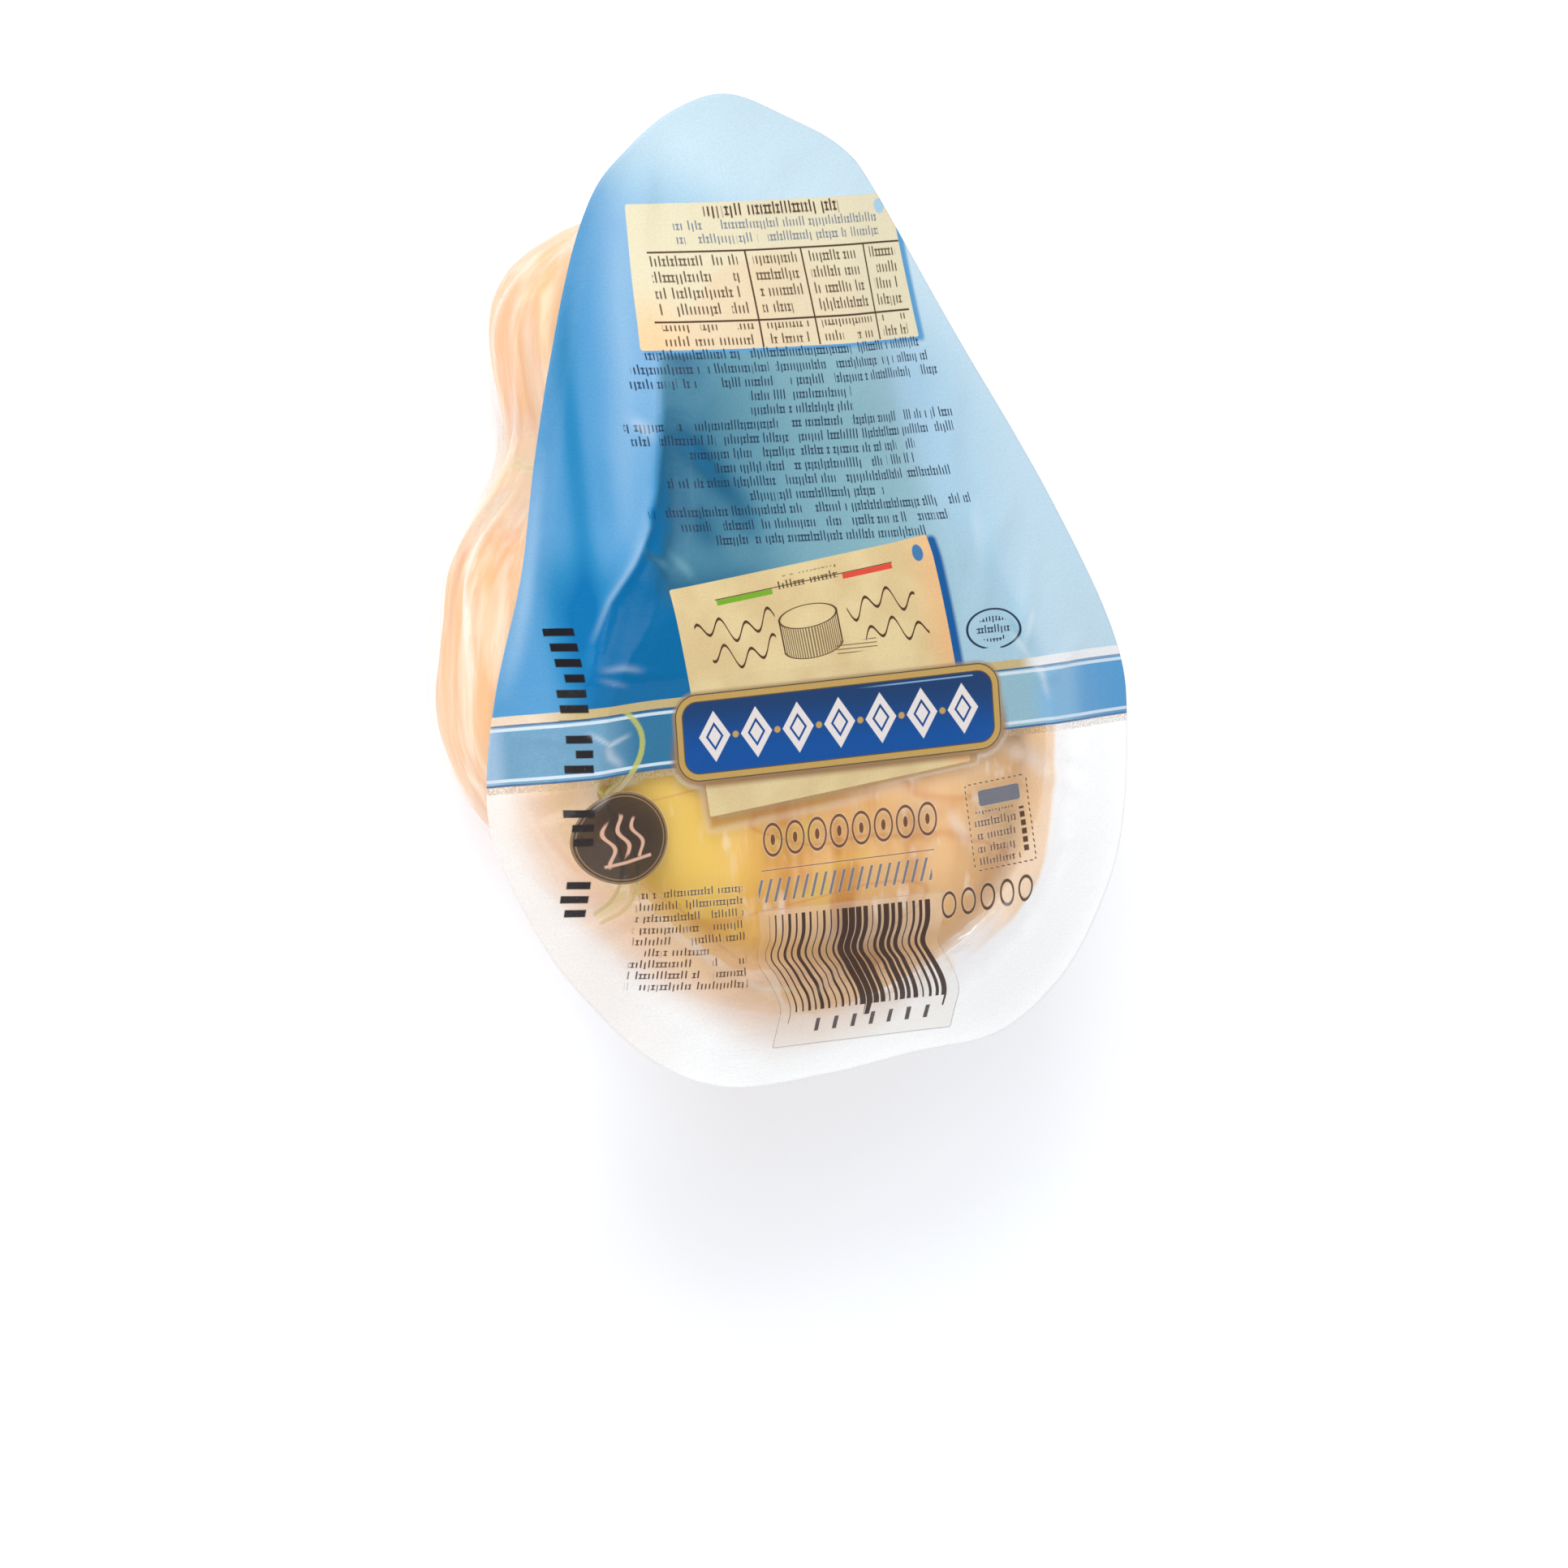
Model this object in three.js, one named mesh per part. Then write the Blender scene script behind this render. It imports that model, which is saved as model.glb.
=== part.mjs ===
// Smoked scamorza vacuum-packed between two films, lying on its back.
// Millimetres. x runs across the pack, y towards its pointed end, z up.
// The shapes are worked out about the middle of the belly, with z = 0 at the
// height of the belly's rim, and the whole pack is stood on z = 0 at the end.
import * as THREE from 'three';
import * as BufferGeometryUtils from 'three/addons/utils/BufferGeometryUtils.js';

// Printed front film with its sealed rim, seen from above, going round from
// the right end of the belly by the pointed end to the left and the bottom
const RIM_POINTS = [
  [43.9, -3], [42.9, 8], [36.0, 26.7], [26.6, 48], [18.2, 67], [14.1, 73.2],
  [7, 77.7], [-1.3, 81.4], [-9, 79.7], [-15.5, 75.3], [-21, 69.5], [-26.4, 57.5],
  [-33.1, 38.4], [-37.5, 23.1], [-42.6, 8.5], [-44.5, -3], [-43.6, -12],
  [-38.4, -23.6], [-32.5, -32.1], [-24, -40.6], [-13.8, -45], [0, -44.6],
  [12, -43], [23, -41.8], [31, -37], [37, -29.7], [42, -18.5],
];
const FILM_THICKNESS = 0.5;
const FILM_CENTRE = [-1.5, 8];
const FILM_RISE = 9;
const FILM_CROWN = 1.2;

// The rim keeps level round the belly and bends down towards the pointed end
const RIM_DROP = 14;
const RIM_DROP_START = 5;
const RIM_DROP_LENGTH = 75;

// How far in from the rim the film has reached the cheese, every 30 degrees
const SLOPE_RUNS = [15, 19, 30, 34, 24, 15, 12.5, 12.5, 14, 16, 15, 14];

// Hollow that the film makes over the neck
const NECK_Y = 35;
const NECK_LENGTH = 9;
const NECK_HOLLOW = 1.3;

// Cheese in its clear film: a belly, a waist and a head, flowing together.
// front and back are the half depths above and below the centre.
const BELLY = { centre: [-1.9, -2.5, -21.4], width: 40.4, length: 37.3, front: 38, back: 30, power: 2.18 };
const WAIST = { centre: [-2.7, 20.4, -21.4], width: 29.6, length: 18, front: 32, back: 26, power: 2 };
const HEAD = { centre: [-3.5, 48.8, -24.4], width: 25.3, length: 18.2, front: 30, back: 26.4, power: 2.5 };
const FLOW = 12;

// The lower left of the belly is flattened, and so is the whole front where
// the film presses on it
const FLAT_ANGLE = 42.4;
const FLAT_DISTANCE = 31.8;
const FLAT_ROUNDING = 10;
const PRESS_ROUNDING = 5;
const FILM_GAP = 0.45;

// Level of the table under the belly's and the head's rest spots
const TABLE_Z = -50;

// Creases of the clear film over the left of the head and the neck:
// from and to on the pouch's left flank as [y, z], width and height
const CREASES = [
  { from: [36, -6], to: [60, -22], width: 1.6, height: 0.7 },
  { from: [26, -12], to: [54, -34], width: 1.8, height: 0.6 },
  { from: [4, -14], to: [34, -30], width: 2.4, height: 0.6 },
];

const RIM_STEPS = 96;
const FILM_RINGS = 13;
const POUCH_BEARINGS = 80;
const POUCH_STEPS = 54;
const POUCH_CENTRE = [-2, 18, -21];
const POUCH_REACH = 90;
const HALVINGS = 36;

function clamp01(value) {
  return Math.min(1, Math.max(0, value));
}

function easeInOut(value) {
  const t = clamp01(value);
  return t * t * (3 - 2 * t);
}

// Smallest of two distances, with the corner between them rounded off
function smoothMin(a, b, rounding) {
  const h = Math.max(rounding - Math.abs(a - b), 0) / rounding;
  return Math.min(a, b) - (h * h * rounding) / 4;
}

function smoothMax(a, b, rounding) {
  return -smoothMin(-a, -b, rounding);
}

const rimCurve = new THREE.CatmullRomCurve3(
  RIM_POINTS.map(([x, y]) => new THREE.Vector3(x, y, 0)),
  true,
  'catmullrom',
  0.5,
);

// The rim as bearings and distances from the film's centre, in order of bearing
function rimByBearing(count) {
  const rim = rimCurve.getSpacedPoints(count).slice(0, count).map((point) => {
    const dx = point.x - FILM_CENTRE[0];
    const dy = point.y - FILM_CENTRE[1];
    const bearing = (Math.atan2(dy, dx) + 2 * Math.PI) % (2 * Math.PI);
    return { bearing, distance: Math.hypot(dx, dy) };
  });
  return rim.sort((a, b) => a.bearing - b.bearing);
}

const FINE_RIM = rimByBearing(720);

function rimDistance(bearing) {
  const after = FINE_RIM.findIndex((entry) => entry.bearing > bearing);
  const next = FINE_RIM[after < 0 ? 0 : after];
  const last = FINE_RIM[(after < 0 ? FINE_RIM.length : after || FINE_RIM.length) - 1];
  const whole = (next.bearing - last.bearing + 2 * Math.PI) % (2 * Math.PI);
  const part = (bearing - last.bearing + 2 * Math.PI) % (2 * Math.PI);
  return THREE.MathUtils.lerp(last.distance, next.distance, whole > 0 ? part / whole : 0);
}

function slopeRun(bearing) {
  const place = (bearing / (2 * Math.PI)) * SLOPE_RUNS.length;
  const before = Math.floor(place) % SLOPE_RUNS.length;
  const after = (before + 1) % SLOPE_RUNS.length;
  return THREE.MathUtils.lerp(SLOPE_RUNS[before], SLOPE_RUNS[after], easeInOut(place - Math.floor(place)));
}

function rimHeight(y) {
  return -RIM_DROP * easeInOut((y - RIM_DROP_START) / RIM_DROP_LENGTH);
}

// Height of the outside of the front film over the point x, y
function filmHeight(x, y) {
  const dx = x - FILM_CENTRE[0];
  const dy = y - FILM_CENTRE[1];
  const bearing = (Math.atan2(dy, dx) + 2 * Math.PI) % (2 * Math.PI);
  const rim = rimDistance(bearing);
  const share = Math.hypot(dx, dy) / rim;
  const climb = clamp01(((1 - share) * rim) / slopeRun(bearing));
  const lift = (climb + easeInOut(climb)) / 2;
  const neck = Math.exp(-(((y - NECK_Y) / NECK_LENGTH) ** 2));
  const crown = FILM_CROWN * Math.max(0, 1 - share * share);
  return rimHeight(y) + (FILM_RISE - NECK_HOLLOW * neck) * lift + crown;
}

function lump(point, { centre, width, length, front, back, power }) {
  const dx = Math.abs(point.x - centre[0]) / width;
  const dy = Math.abs(point.y - centre[1]) / length;
  const dz = point.z - centre[2];
  const depth = Math.abs(dz) / (dz > 0 ? front : back);
  const size = (dx ** power + dy ** power + depth ** power) ** (1 / power);
  return (size - 1) * Math.min(width, length, back);
}

// How far the creases stand up from the pouch's left flank
function creaseLift(point) {
  let lift = 0;
  if (point.x > POUCH_CENTRE[0]) return lift;
  for (const { from, to, width, height } of CREASES) {
    const alongY = to[0] - from[0];
    const alongZ = to[1] - from[1];
    const length = Math.hypot(alongY, alongZ);
    const offY = point.y - from[0];
    const offZ = point.z - from[1];
    const along = (offY * alongY + offZ * alongZ) / length ** 2;
    const across = (offY * alongZ - offZ * alongY) / length;
    const ends = Math.sin(Math.PI * clamp01(along));
    lift += height * ends * Math.exp(-((across / width) ** 2));
  }
  return lift;
}

// Below zero inside the pouch, above zero outside it
function pouchDistance(point) {
  let distance = lump(point, BELLY);
  distance = smoothMin(distance, lump(point, WAIST), FLOW);
  distance = smoothMin(distance, lump(point, HEAD), FLOW);
  const angle = THREE.MathUtils.degToRad(FLAT_ANGLE);
  const left = BELLY.centre[0] - point.x;
  const down = BELLY.centre[1] - point.y;
  const flat = left * Math.cos(angle) + down * Math.sin(angle) - FLAT_DISTANCE;
  distance = smoothMax(distance, flat, FLAT_ROUNDING);
  distance -= creaseLift(point);
  const underFilm = filmHeight(point.x, point.y) - FILM_THICKNESS - FILM_GAP;
  distance = smoothMax(distance, point.z - underFilm, PRESS_ROUNDING);
  return Math.max(distance, TABLE_Z - point.z);
}

// The pouch's surface in one direction from its middle
function pouchSurface(direction) {
  const middle = new THREE.Vector3(...POUCH_CENTRE);
  let near = 0;
  let far = POUCH_REACH;
  for (let i = 0; i < HALVINGS; i += 1) {
    const tried = (near + far) / 2;
    if (pouchDistance(middle.clone().addScaledVector(direction, tried)) < 0) near = tried;
    else far = tried;
  }
  const point = middle.addScaledVector(direction, near);
  if (point.z < TABLE_Z + 0.001) point.z = TABLE_Z;
  return point;
}

function meshFrom(points, faces) {
  const geometry = new THREE.BufferGeometry();
  geometry.setAttribute('position', new THREE.Float32BufferAttribute(points.flatMap((p) => [p.x, p.y, p.z]), 3));
  geometry.setIndex(faces.flat());
  const merged = BufferGeometryUtils.mergeVertices(geometry);
  merged.computeVertexNormals();
  return merged;
}

// Rings round a first and a last point, closed by a fan at each end
function closedByRings(first, rings, last) {
  const count = rings[0].length;
  const points = [first, ...rings.flat(), last];
  const at = (ring, step) => 1 + ring * count + (step % count);
  const faces = [];
  for (let step = 0; step < count; step += 1) {
    faces.push([0, at(0, step), at(0, step + 1)]);
    for (let ring = 0; ring < rings.length - 1; ring += 1) {
      faces.push([at(ring, step), at(ring + 1, step), at(ring + 1, step + 1)]);
      faces.push([at(ring, step), at(ring + 1, step + 1), at(ring, step + 1)]);
    }
    faces.push([at(rings.length - 1, step), points.length - 1, at(rings.length - 1, step + 1)]);
  }
  return meshFrom(points, faces);
}

function filmPoint(share, rimPoint, drop) {
  const x = FILM_CENTRE[0] + share * (rimPoint.x - FILM_CENTRE[0]);
  const y = FILM_CENTRE[1] + share * (rimPoint.y - FILM_CENTRE[1]);
  return new THREE.Vector3(x, y, filmHeight(x, y) - drop);
}

// Thin domed sheet: its upper face from the centre to the rim, then its lower
// face back to the centre
function frontFilmGeometry() {
  const rim = rimCurve.getSpacedPoints(RIM_STEPS).slice(0, RIM_STEPS);
  const shares = [];
  for (let ring = 1; ring <= FILM_RINGS; ring += 1) shares.push(easeOut(ring / FILM_RINGS));
  const upper = shares.map((share) => rim.map((point) => filmPoint(share, point, 0)));
  const lower = shares.map((share) => rim.map((point) => filmPoint(share, point, FILM_THICKNESS)));
  const middle = rim[0];
  return closedByRings(filmPoint(0, middle, 0), [...upper, ...lower.reverse()], filmPoint(0, middle, FILM_THICKNESS));
}

// Rings lie closer together near the rim, where the film slopes
function easeOut(value) {
  return 1 - (1 - value) ** 1.5;
}

function pouchGeometry() {
  const rings = [];
  for (let step = 1; step < POUCH_STEPS; step += 1) {
    const polar = (Math.PI * step) / POUCH_STEPS;
    const ring = [];
    for (let turn = 0; turn < POUCH_BEARINGS; turn += 1) {
      const bearing = (2 * Math.PI * turn) / POUCH_BEARINGS;
      const across = Math.sin(polar);
      const x = across * Math.sin(bearing);
      const z = across * Math.cos(bearing);
      ring.push(pouchSurface(new THREE.Vector3(x, Math.cos(polar), z)));
    }
    rings.push(ring);
  }
  const top = pouchSurface(new THREE.Vector3(0, 1, 0));
  const bottom = pouchSurface(new THREE.Vector3(0, -1, 0));
  return closedByRings(top, rings, bottom);
}

function cheesePouch() {
  const material = new THREE.MeshStandardMaterial({ color: 0xf2c98e, roughness: 0.25, metalness: 0 });
  const mesh = new THREE.Mesh(pouchGeometry(), material);
  mesh.name = 'cheese_pouch';
  return mesh;
}

function frontFilm() {
  const material = new THREE.MeshStandardMaterial({ color: 0x7fb4d6, roughness: 0.3, metalness: 0 });
  const mesh = new THREE.Mesh(frontFilmGeometry(), material);
  mesh.name = 'front_film';
  return mesh;
}

const pack = new THREE.Group();
pack.add(cheesePouch(), frontFilm());
const box = new THREE.Box3().setFromObject(pack);
const middle = box.getCenter(new THREE.Vector3());
pack.position.set(-middle.x, -middle.y, -box.min.z);

export default pack;
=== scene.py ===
import math

import bpy
import numpy as np
from mathutils import Matrix, Vector, noise


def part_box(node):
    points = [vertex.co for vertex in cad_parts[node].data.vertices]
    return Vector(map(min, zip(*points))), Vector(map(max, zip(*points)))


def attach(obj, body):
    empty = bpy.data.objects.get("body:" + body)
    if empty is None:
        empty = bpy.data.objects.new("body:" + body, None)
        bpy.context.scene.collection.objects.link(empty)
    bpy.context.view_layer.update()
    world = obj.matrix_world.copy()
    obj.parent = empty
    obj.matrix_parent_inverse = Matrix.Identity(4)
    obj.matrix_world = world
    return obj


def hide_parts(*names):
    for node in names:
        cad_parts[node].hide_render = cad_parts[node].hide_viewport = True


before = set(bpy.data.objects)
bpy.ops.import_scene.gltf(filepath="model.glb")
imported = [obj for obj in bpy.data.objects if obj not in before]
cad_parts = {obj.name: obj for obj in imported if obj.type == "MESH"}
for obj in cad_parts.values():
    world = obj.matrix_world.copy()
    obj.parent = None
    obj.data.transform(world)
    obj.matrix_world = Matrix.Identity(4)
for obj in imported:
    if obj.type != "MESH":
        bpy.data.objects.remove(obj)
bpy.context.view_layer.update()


# Form of the sealed pack
# The pack is a smoked cheese sealed between two films that meet in a flat rim. The printed film is drawn
# over the front of the cheese, so the rim and the slope up to the cheese give the pack its form. All sizes
# here are in millimetres about the middle of the belly, with z = 0 at the height of the belly's rim.
RIM_POINTS = np.array([
    (43.9, -3), (42.9, 8), (36.0, 26.7), (26.6, 48), (18.2, 67), (14.1, 73.2),
    (7, 77.7), (-1.3, 81.4), (-9, 79.7), (-15.5, 75.3), (-21, 69.5), (-26.4, 57.5),
    (-33.1, 38.4), (-37.5, 23.1), (-42.6, 8.5), (-44.5, -3), (-43.6, -12),
    (-38.4, -23.6), (-32.5, -32.1), (-24, -40.6), (-13.8, -45), (0, -44.6),
    (12, -43), (23, -41.8), (31, -37), (37, -29.7), (42, -18.5),
])
RIM_CURVE_STEPS = 30
FILM_CENTRE = (-1.5, 8)
FILM_RISE = 9
FILM_CROWN = 1.2
RIM_DROP = 14
RIM_DROP_START = 5
RIM_DROP_LENGTH = 75
SLOPE_RUNS = np.array([15, 19, 30, 34, 24, 15, 12.5, 12.5, 14, 16, 15, 14])
NECK_Y = 35
NECK_LENGTH = 9
NECK_HOLLOW = 1.3
TABLE_Z = -50
FULL_TURN = 2 * math.pi


def ease(value):
    t = np.clip(value, 0, 1)
    return t * t * (3 - 2 * t)


def curve_through(points, steps, closed):
    """A smooth curve through the points, with some steps from each to the next."""
    points = np.asarray(points, float)
    if not closed:
        points = np.vstack([2 * points[0] - points[1], points, 2 * points[-1] - points[-2]])
    count = len(points)
    t = np.linspace(0, 1, steps, endpoint=False)[:, None]
    stretches = []
    for i in range(count if closed else count - 3):
        before, start, end, after = (points[(i + k - closed) % count] for k in range(4))
        stretches.append(
            start
            + 0.5 * t * (end - before)
            + 0.5 * t ** 2 * (2 * before - 5 * start + 4 * end - after)
            + 0.5 * t ** 3 * (3 * start - before - 3 * end + after)
        )
    if not closed:
        stretches.append(points[-2:-1])
    return np.concatenate(stretches)


rim_curve = curve_through(RIM_POINTS, RIM_CURVE_STEPS, True)


def rim_distance(bearing, centre):
    """How far the rim is from the centre, in each direction."""
    around = np.arctan2(rim_curve[:, 1] - centre[1], rim_curve[:, 0] - centre[0])
    away = np.hypot(rim_curve[:, 0] - centre[0], rim_curve[:, 1] - centre[1])
    return np.interp(bearing, around, away, period=FULL_TURN)


def film_height(x, y):
    """Height of the front film before its folds."""
    dx = x - FILM_CENTRE[0]
    dy = y - FILM_CENTRE[1]
    bearing = np.mod(np.arctan2(dy, dx), FULL_TURN)
    rim = rim_distance(bearing, FILM_CENTRE)
    share = np.hypot(dx, dy) / rim
    place = bearing / FULL_TURN * len(SLOPE_RUNS)
    before = np.floor(place).astype(int) % len(SLOPE_RUNS)
    after = (before + 1) % len(SLOPE_RUNS)
    turn = ease(place - np.floor(place))
    run = SLOPE_RUNS[before] * (1 - turn) + SLOPE_RUNS[after] * turn
    climb = np.clip((1 - share) * rim / run, 0, 1)
    lift = (climb + ease(climb)) / 2
    neck = np.exp(-(((y - NECK_Y) / NECK_LENGTH) ** 2))
    rim_height = -RIM_DROP * ease((y - RIM_DROP_START) / RIM_DROP_LENGTH)
    crown = FILM_CROWN * np.maximum(0, 1 - share * share)
    return rim_height + (FILM_RISE - NECK_HOLLOW * neck) * lift + crown


film_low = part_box("front_film")[0]
table_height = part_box("cheese_pouch")[0].z
PACK_SHIFT = np.array([
    film_low.x * 1000 - rim_curve[:, 0].min(),
    film_low.y * 1000 - rim_curve[:, 1].min(),
    table_height * 1000 - TABLE_Z,
])


def in_row_frame(points):
    """Metres in the row's frame, from millimetres about the middle of the belly."""
    return (np.asarray(points, float) + PACK_SHIFT) / 1000


# Camera
# It looks down on the pack, which lies on its back, from the photo's side of the printed film: turned to
# the left, tipped towards the pointed end and a little askew, through a long lens.
CAMERA_YAW = math.radians(21)
CAMERA_PITCH = math.radians(-7)
CAMERA_ROLL = math.radians(3.2)
CAMERA_DISTANCE = 2.0
PHOTO_SIDE = 1932
PHOTO_PIXELS_PER_MM = 9.6
BELLY_MIDDLE_PIXEL = (999, 900)
SENSOR_WIDTH = 36
CAMERA_SIGHT = 20

level_right = np.array([math.cos(CAMERA_YAW), 0, math.sin(CAMERA_YAW)])
level_up = np.array([
    -math.sin(CAMERA_PITCH) * math.sin(CAMERA_YAW),
    math.cos(CAMERA_PITCH),
    math.sin(CAMERA_PITCH) * math.cos(CAMERA_YAW),
])
camera_right = level_right * math.cos(CAMERA_ROLL) - level_up * math.sin(CAMERA_ROLL)
camera_up = level_right * math.sin(CAMERA_ROLL) + level_up * math.cos(CAMERA_ROLL)
camera_back = np.cross(camera_right, camera_up)
right_of_belly = (PHOTO_SIDE / 2 - BELLY_MIDDLE_PIXEL[0]) / PHOTO_PIXELS_PER_MM
above_belly = (BELLY_MIDDLE_PIXEL[1] - PHOTO_SIDE / 2) / PHOTO_PIXELS_PER_MM
aim = in_row_frame(right_of_belly * camera_right + above_belly * camera_up)
place = aim + CAMERA_DISTANCE * camera_back

camera_data = bpy.data.cameras.new("camera")
camera_data.sensor_width = SENSOR_WIDTH
camera_data.lens = SENSOR_WIDTH * CAMERA_DISTANCE * 1000 * PHOTO_PIXELS_PER_MM / PHOTO_SIDE
camera_data.clip_end = CAMERA_SIGHT
camera = bpy.data.objects.new("camera", camera_data)
camera.matrix_world = Matrix([
    (camera_right[i], camera_up[i], camera_back[i], place[i]) for i in range(3)
] + [(0, 0, 0, 1)])
bpy.context.scene.collection.objects.link(camera)
bpy.context.scene.camera = camera


# Smoked cheese
# One pear of stretched curd: a belly, a neck where the tie pulls it in, and a head. The curd was stretched
# and folded by hand, so its skin has fibres along its length and pleats at the neck. Smoke made it golden.
BELLY = {"centre": (-1.9, -2.5, -21.4), "half": (40.4, 37.3), "front": 38, "back": 30, "power": 2.18}
WAIST = {"centre": (-2.7, 20.4, -21.4), "half": (29.6, 18), "front": 32, "back": 26, "power": 2}
HEAD = {"centre": (-3.5, 48.8, -24.4), "half": (25.3, 18.2), "front": 30, "back": 26.4, "power": 2.5}
FLOW = 12
FLAT_ANGLE = math.radians(42.4)
FLAT_DISTANCE = 31.8
FLAT_ROUNDING = 10
PRESS_ROUNDING = 5
FILM_ALLOWANCE = 0.95
POUCH_MIDDLE = np.array([-2, 18, -21])
POUCH_REACH = 90
HALVINGS = 30
SKIN_GAP = 0.4
# Places up the left side where the form is fuller, each with its reach and how far it stands out
LEFT_SWELLS = [(53, 10, 1.0), (25, 8, 0.9)]
TIE_Y = 34.5
TIE_PINCH = 0.8
TIE_PINCH_LENGTH = 1.7
PLEAT_COUNT = 15
PLEAT_HEIGHT = 0.4
PLEAT_LENGTH = 9
PLEAT_WANDER = 1.3
FIBRE_SIZE = 1.7
FIBRE_HEIGHT = 0.16
FIBRE_STRETCH = (1, 0.14, 1)
DENT_SIZE = 11
DENT_HEIGHT = 0.5
# How much of its relief the skin keeps where it is pressed, and how it gets the rest back beside that
PRESSED_RELIEF = 0.25
FILM_CLEARANCE = 1.4
TABLE_CLEARANCE = 0.6
CLEARANCE_RUN = 2
CHEESE_RINGS = 216
CHEESE_BEARINGS = 300


def smooth_min(a, b, rounding):
    """The smaller of two distances, with the corner between them rounded off."""
    h = np.maximum(rounding - np.abs(a - b), 0) / rounding
    return np.minimum(a, b) - h * h * rounding / 4


def smooth_max(a, b, rounding):
    return -smooth_min(-a, -b, rounding)


def lump(points, form):
    """Distance to a rounded lump, less than zero inside it."""
    offset = points - np.array(form["centre"])
    depth = np.where(offset[:, 2] > 0, form["front"], form["back"])
    shares = np.abs(offset) / np.stack([
        np.full(len(points), form["half"][0]),
        np.full(len(points), form["half"][1]),
        depth,
    ], axis=1)
    size = (shares ** form["power"]).sum(axis=1) ** (1 / form["power"])
    return (size - 1) * min(*form["half"], form["back"])


def pear(points):
    """Distance to the belly, waist and head flowing together, before the film presses on them."""
    distance = smooth_min(lump(points, BELLY), lump(points, WAIST), FLOW)
    distance = smooth_min(distance, lump(points, HEAD), FLOW)
    left = BELLY["centre"][0] - points[:, 0]
    down = BELLY["centre"][1] - points[:, 1]
    flat = left * math.cos(FLAT_ANGLE) + down * math.sin(FLAT_ANGLE) - FLAT_DISTANCE
    distance = smooth_max(distance, flat, FLAT_ROUNDING)
    offset = points - POUCH_MIDDLE
    leftness = np.clip(-offset[:, 0] / (np.hypot(offset[:, 0], offset[:, 2]) + 1e-6), 0, 1) ** 2
    for swell_y, reach, height in LEFT_SWELLS:
        distance = distance - height * leftness * np.exp(-(((points[:, 1] - swell_y) / reach) ** 2))
    return distance


def pressed(distance, points, clearance):
    """The same form pressed by the front film above it and by the table below it."""
    under_film = film_height(points[:, 0], points[:, 1]) - FILM_ALLOWANCE - clearance
    distance = smooth_max(distance, points[:, 2] - under_film, PRESS_ROUNDING)
    return np.maximum(distance, TABLE_Z + clearance - points[:, 2])


def noise_at(points, size, seed):
    """Smooth noise from -1 to 1 whose lumps are about size across, in millimetres."""
    shift = Vector((seed * 7.31, seed * 3.77, seed * 5.13))
    return np.array([noise.noise(Vector(point) / size + shift) for point in points])


def cheese_distance(points):
    """Distance to the cheese, pinched and pleated about the tie, inside the film that presses on it."""
    about_tie = points[:, 1] - TIE_Y
    turn = np.arctan2(points[:, 0] - POUCH_MIDDLE[0], points[:, 2] - POUCH_MIDDLE[2])
    pinch = TIE_PINCH * np.exp(-(about_tie / TIE_PINCH_LENGTH) ** 2)
    pleats = 1 - np.sin(PLEAT_COUNT * turn + PLEAT_WANDER * np.sin(3 * turn))
    pleats = pleats * np.exp(-(about_tie / PLEAT_LENGTH) ** 2)
    distance = pear(points) + SKIN_GAP + pinch + PLEAT_HEIGHT * pleats
    return pressed(distance, points, SKIN_GAP)


def surface_along(directions, distance, middle):
    """Where each direction from the middle leaves the body that the distance describes."""
    near = np.zeros(len(directions))
    far = np.full(len(directions), float(POUCH_REACH))
    for _ in range(HALVINGS):
        tried = (near + far) / 2
        inside = distance(middle + directions * tried[:, None]) < 0
        near = np.where(inside, tried, near)
        far = np.where(inside, far, tried)
    return middle + directions * near[:, None]


def bearings_round(count):
    """Evenly spaced angles of a full turn."""
    return FULL_TURN * np.arange(count) / count


def grid_faces(rows, columns):
    """Faces between rows of points that each close on themselves."""
    row, column = np.meshgrid(np.arange(rows - 1), np.arange(columns), indexing="ij")
    after = (column + 1) % columns
    start = row * columns
    corners = [start + column, start + columns + column, start + columns + after, start + after]
    return np.stack(corners, axis=-1).reshape(-1, 4)


def fan_faces(tip, ring, flipped):
    """Faces from one point to a closed ring of points."""
    after = np.roll(ring, -1)
    tips = np.full(len(ring), tip)
    sides = [tips, after, ring] if flipped else [tips, ring, after]
    return np.stack(sides, axis=1)


def new_piece(name, points, faces, finish):
    """A smooth mesh piece that rides with the pack."""
    mesh = bpy.data.meshes.new(name)
    mesh.from_pydata(in_row_frame(points).tolist(), [], faces)
    mesh.shade_smooth()
    mesh.materials.append(finish.material)
    piece = bpy.data.objects.new(name, mesh)
    bpy.context.scene.collection.objects.link(piece)
    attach(piece, "root")
    return piece


# How steeply a film's gloss grows as it is seen more at a slant
GLOSS_STEEPNESS = 5


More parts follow.
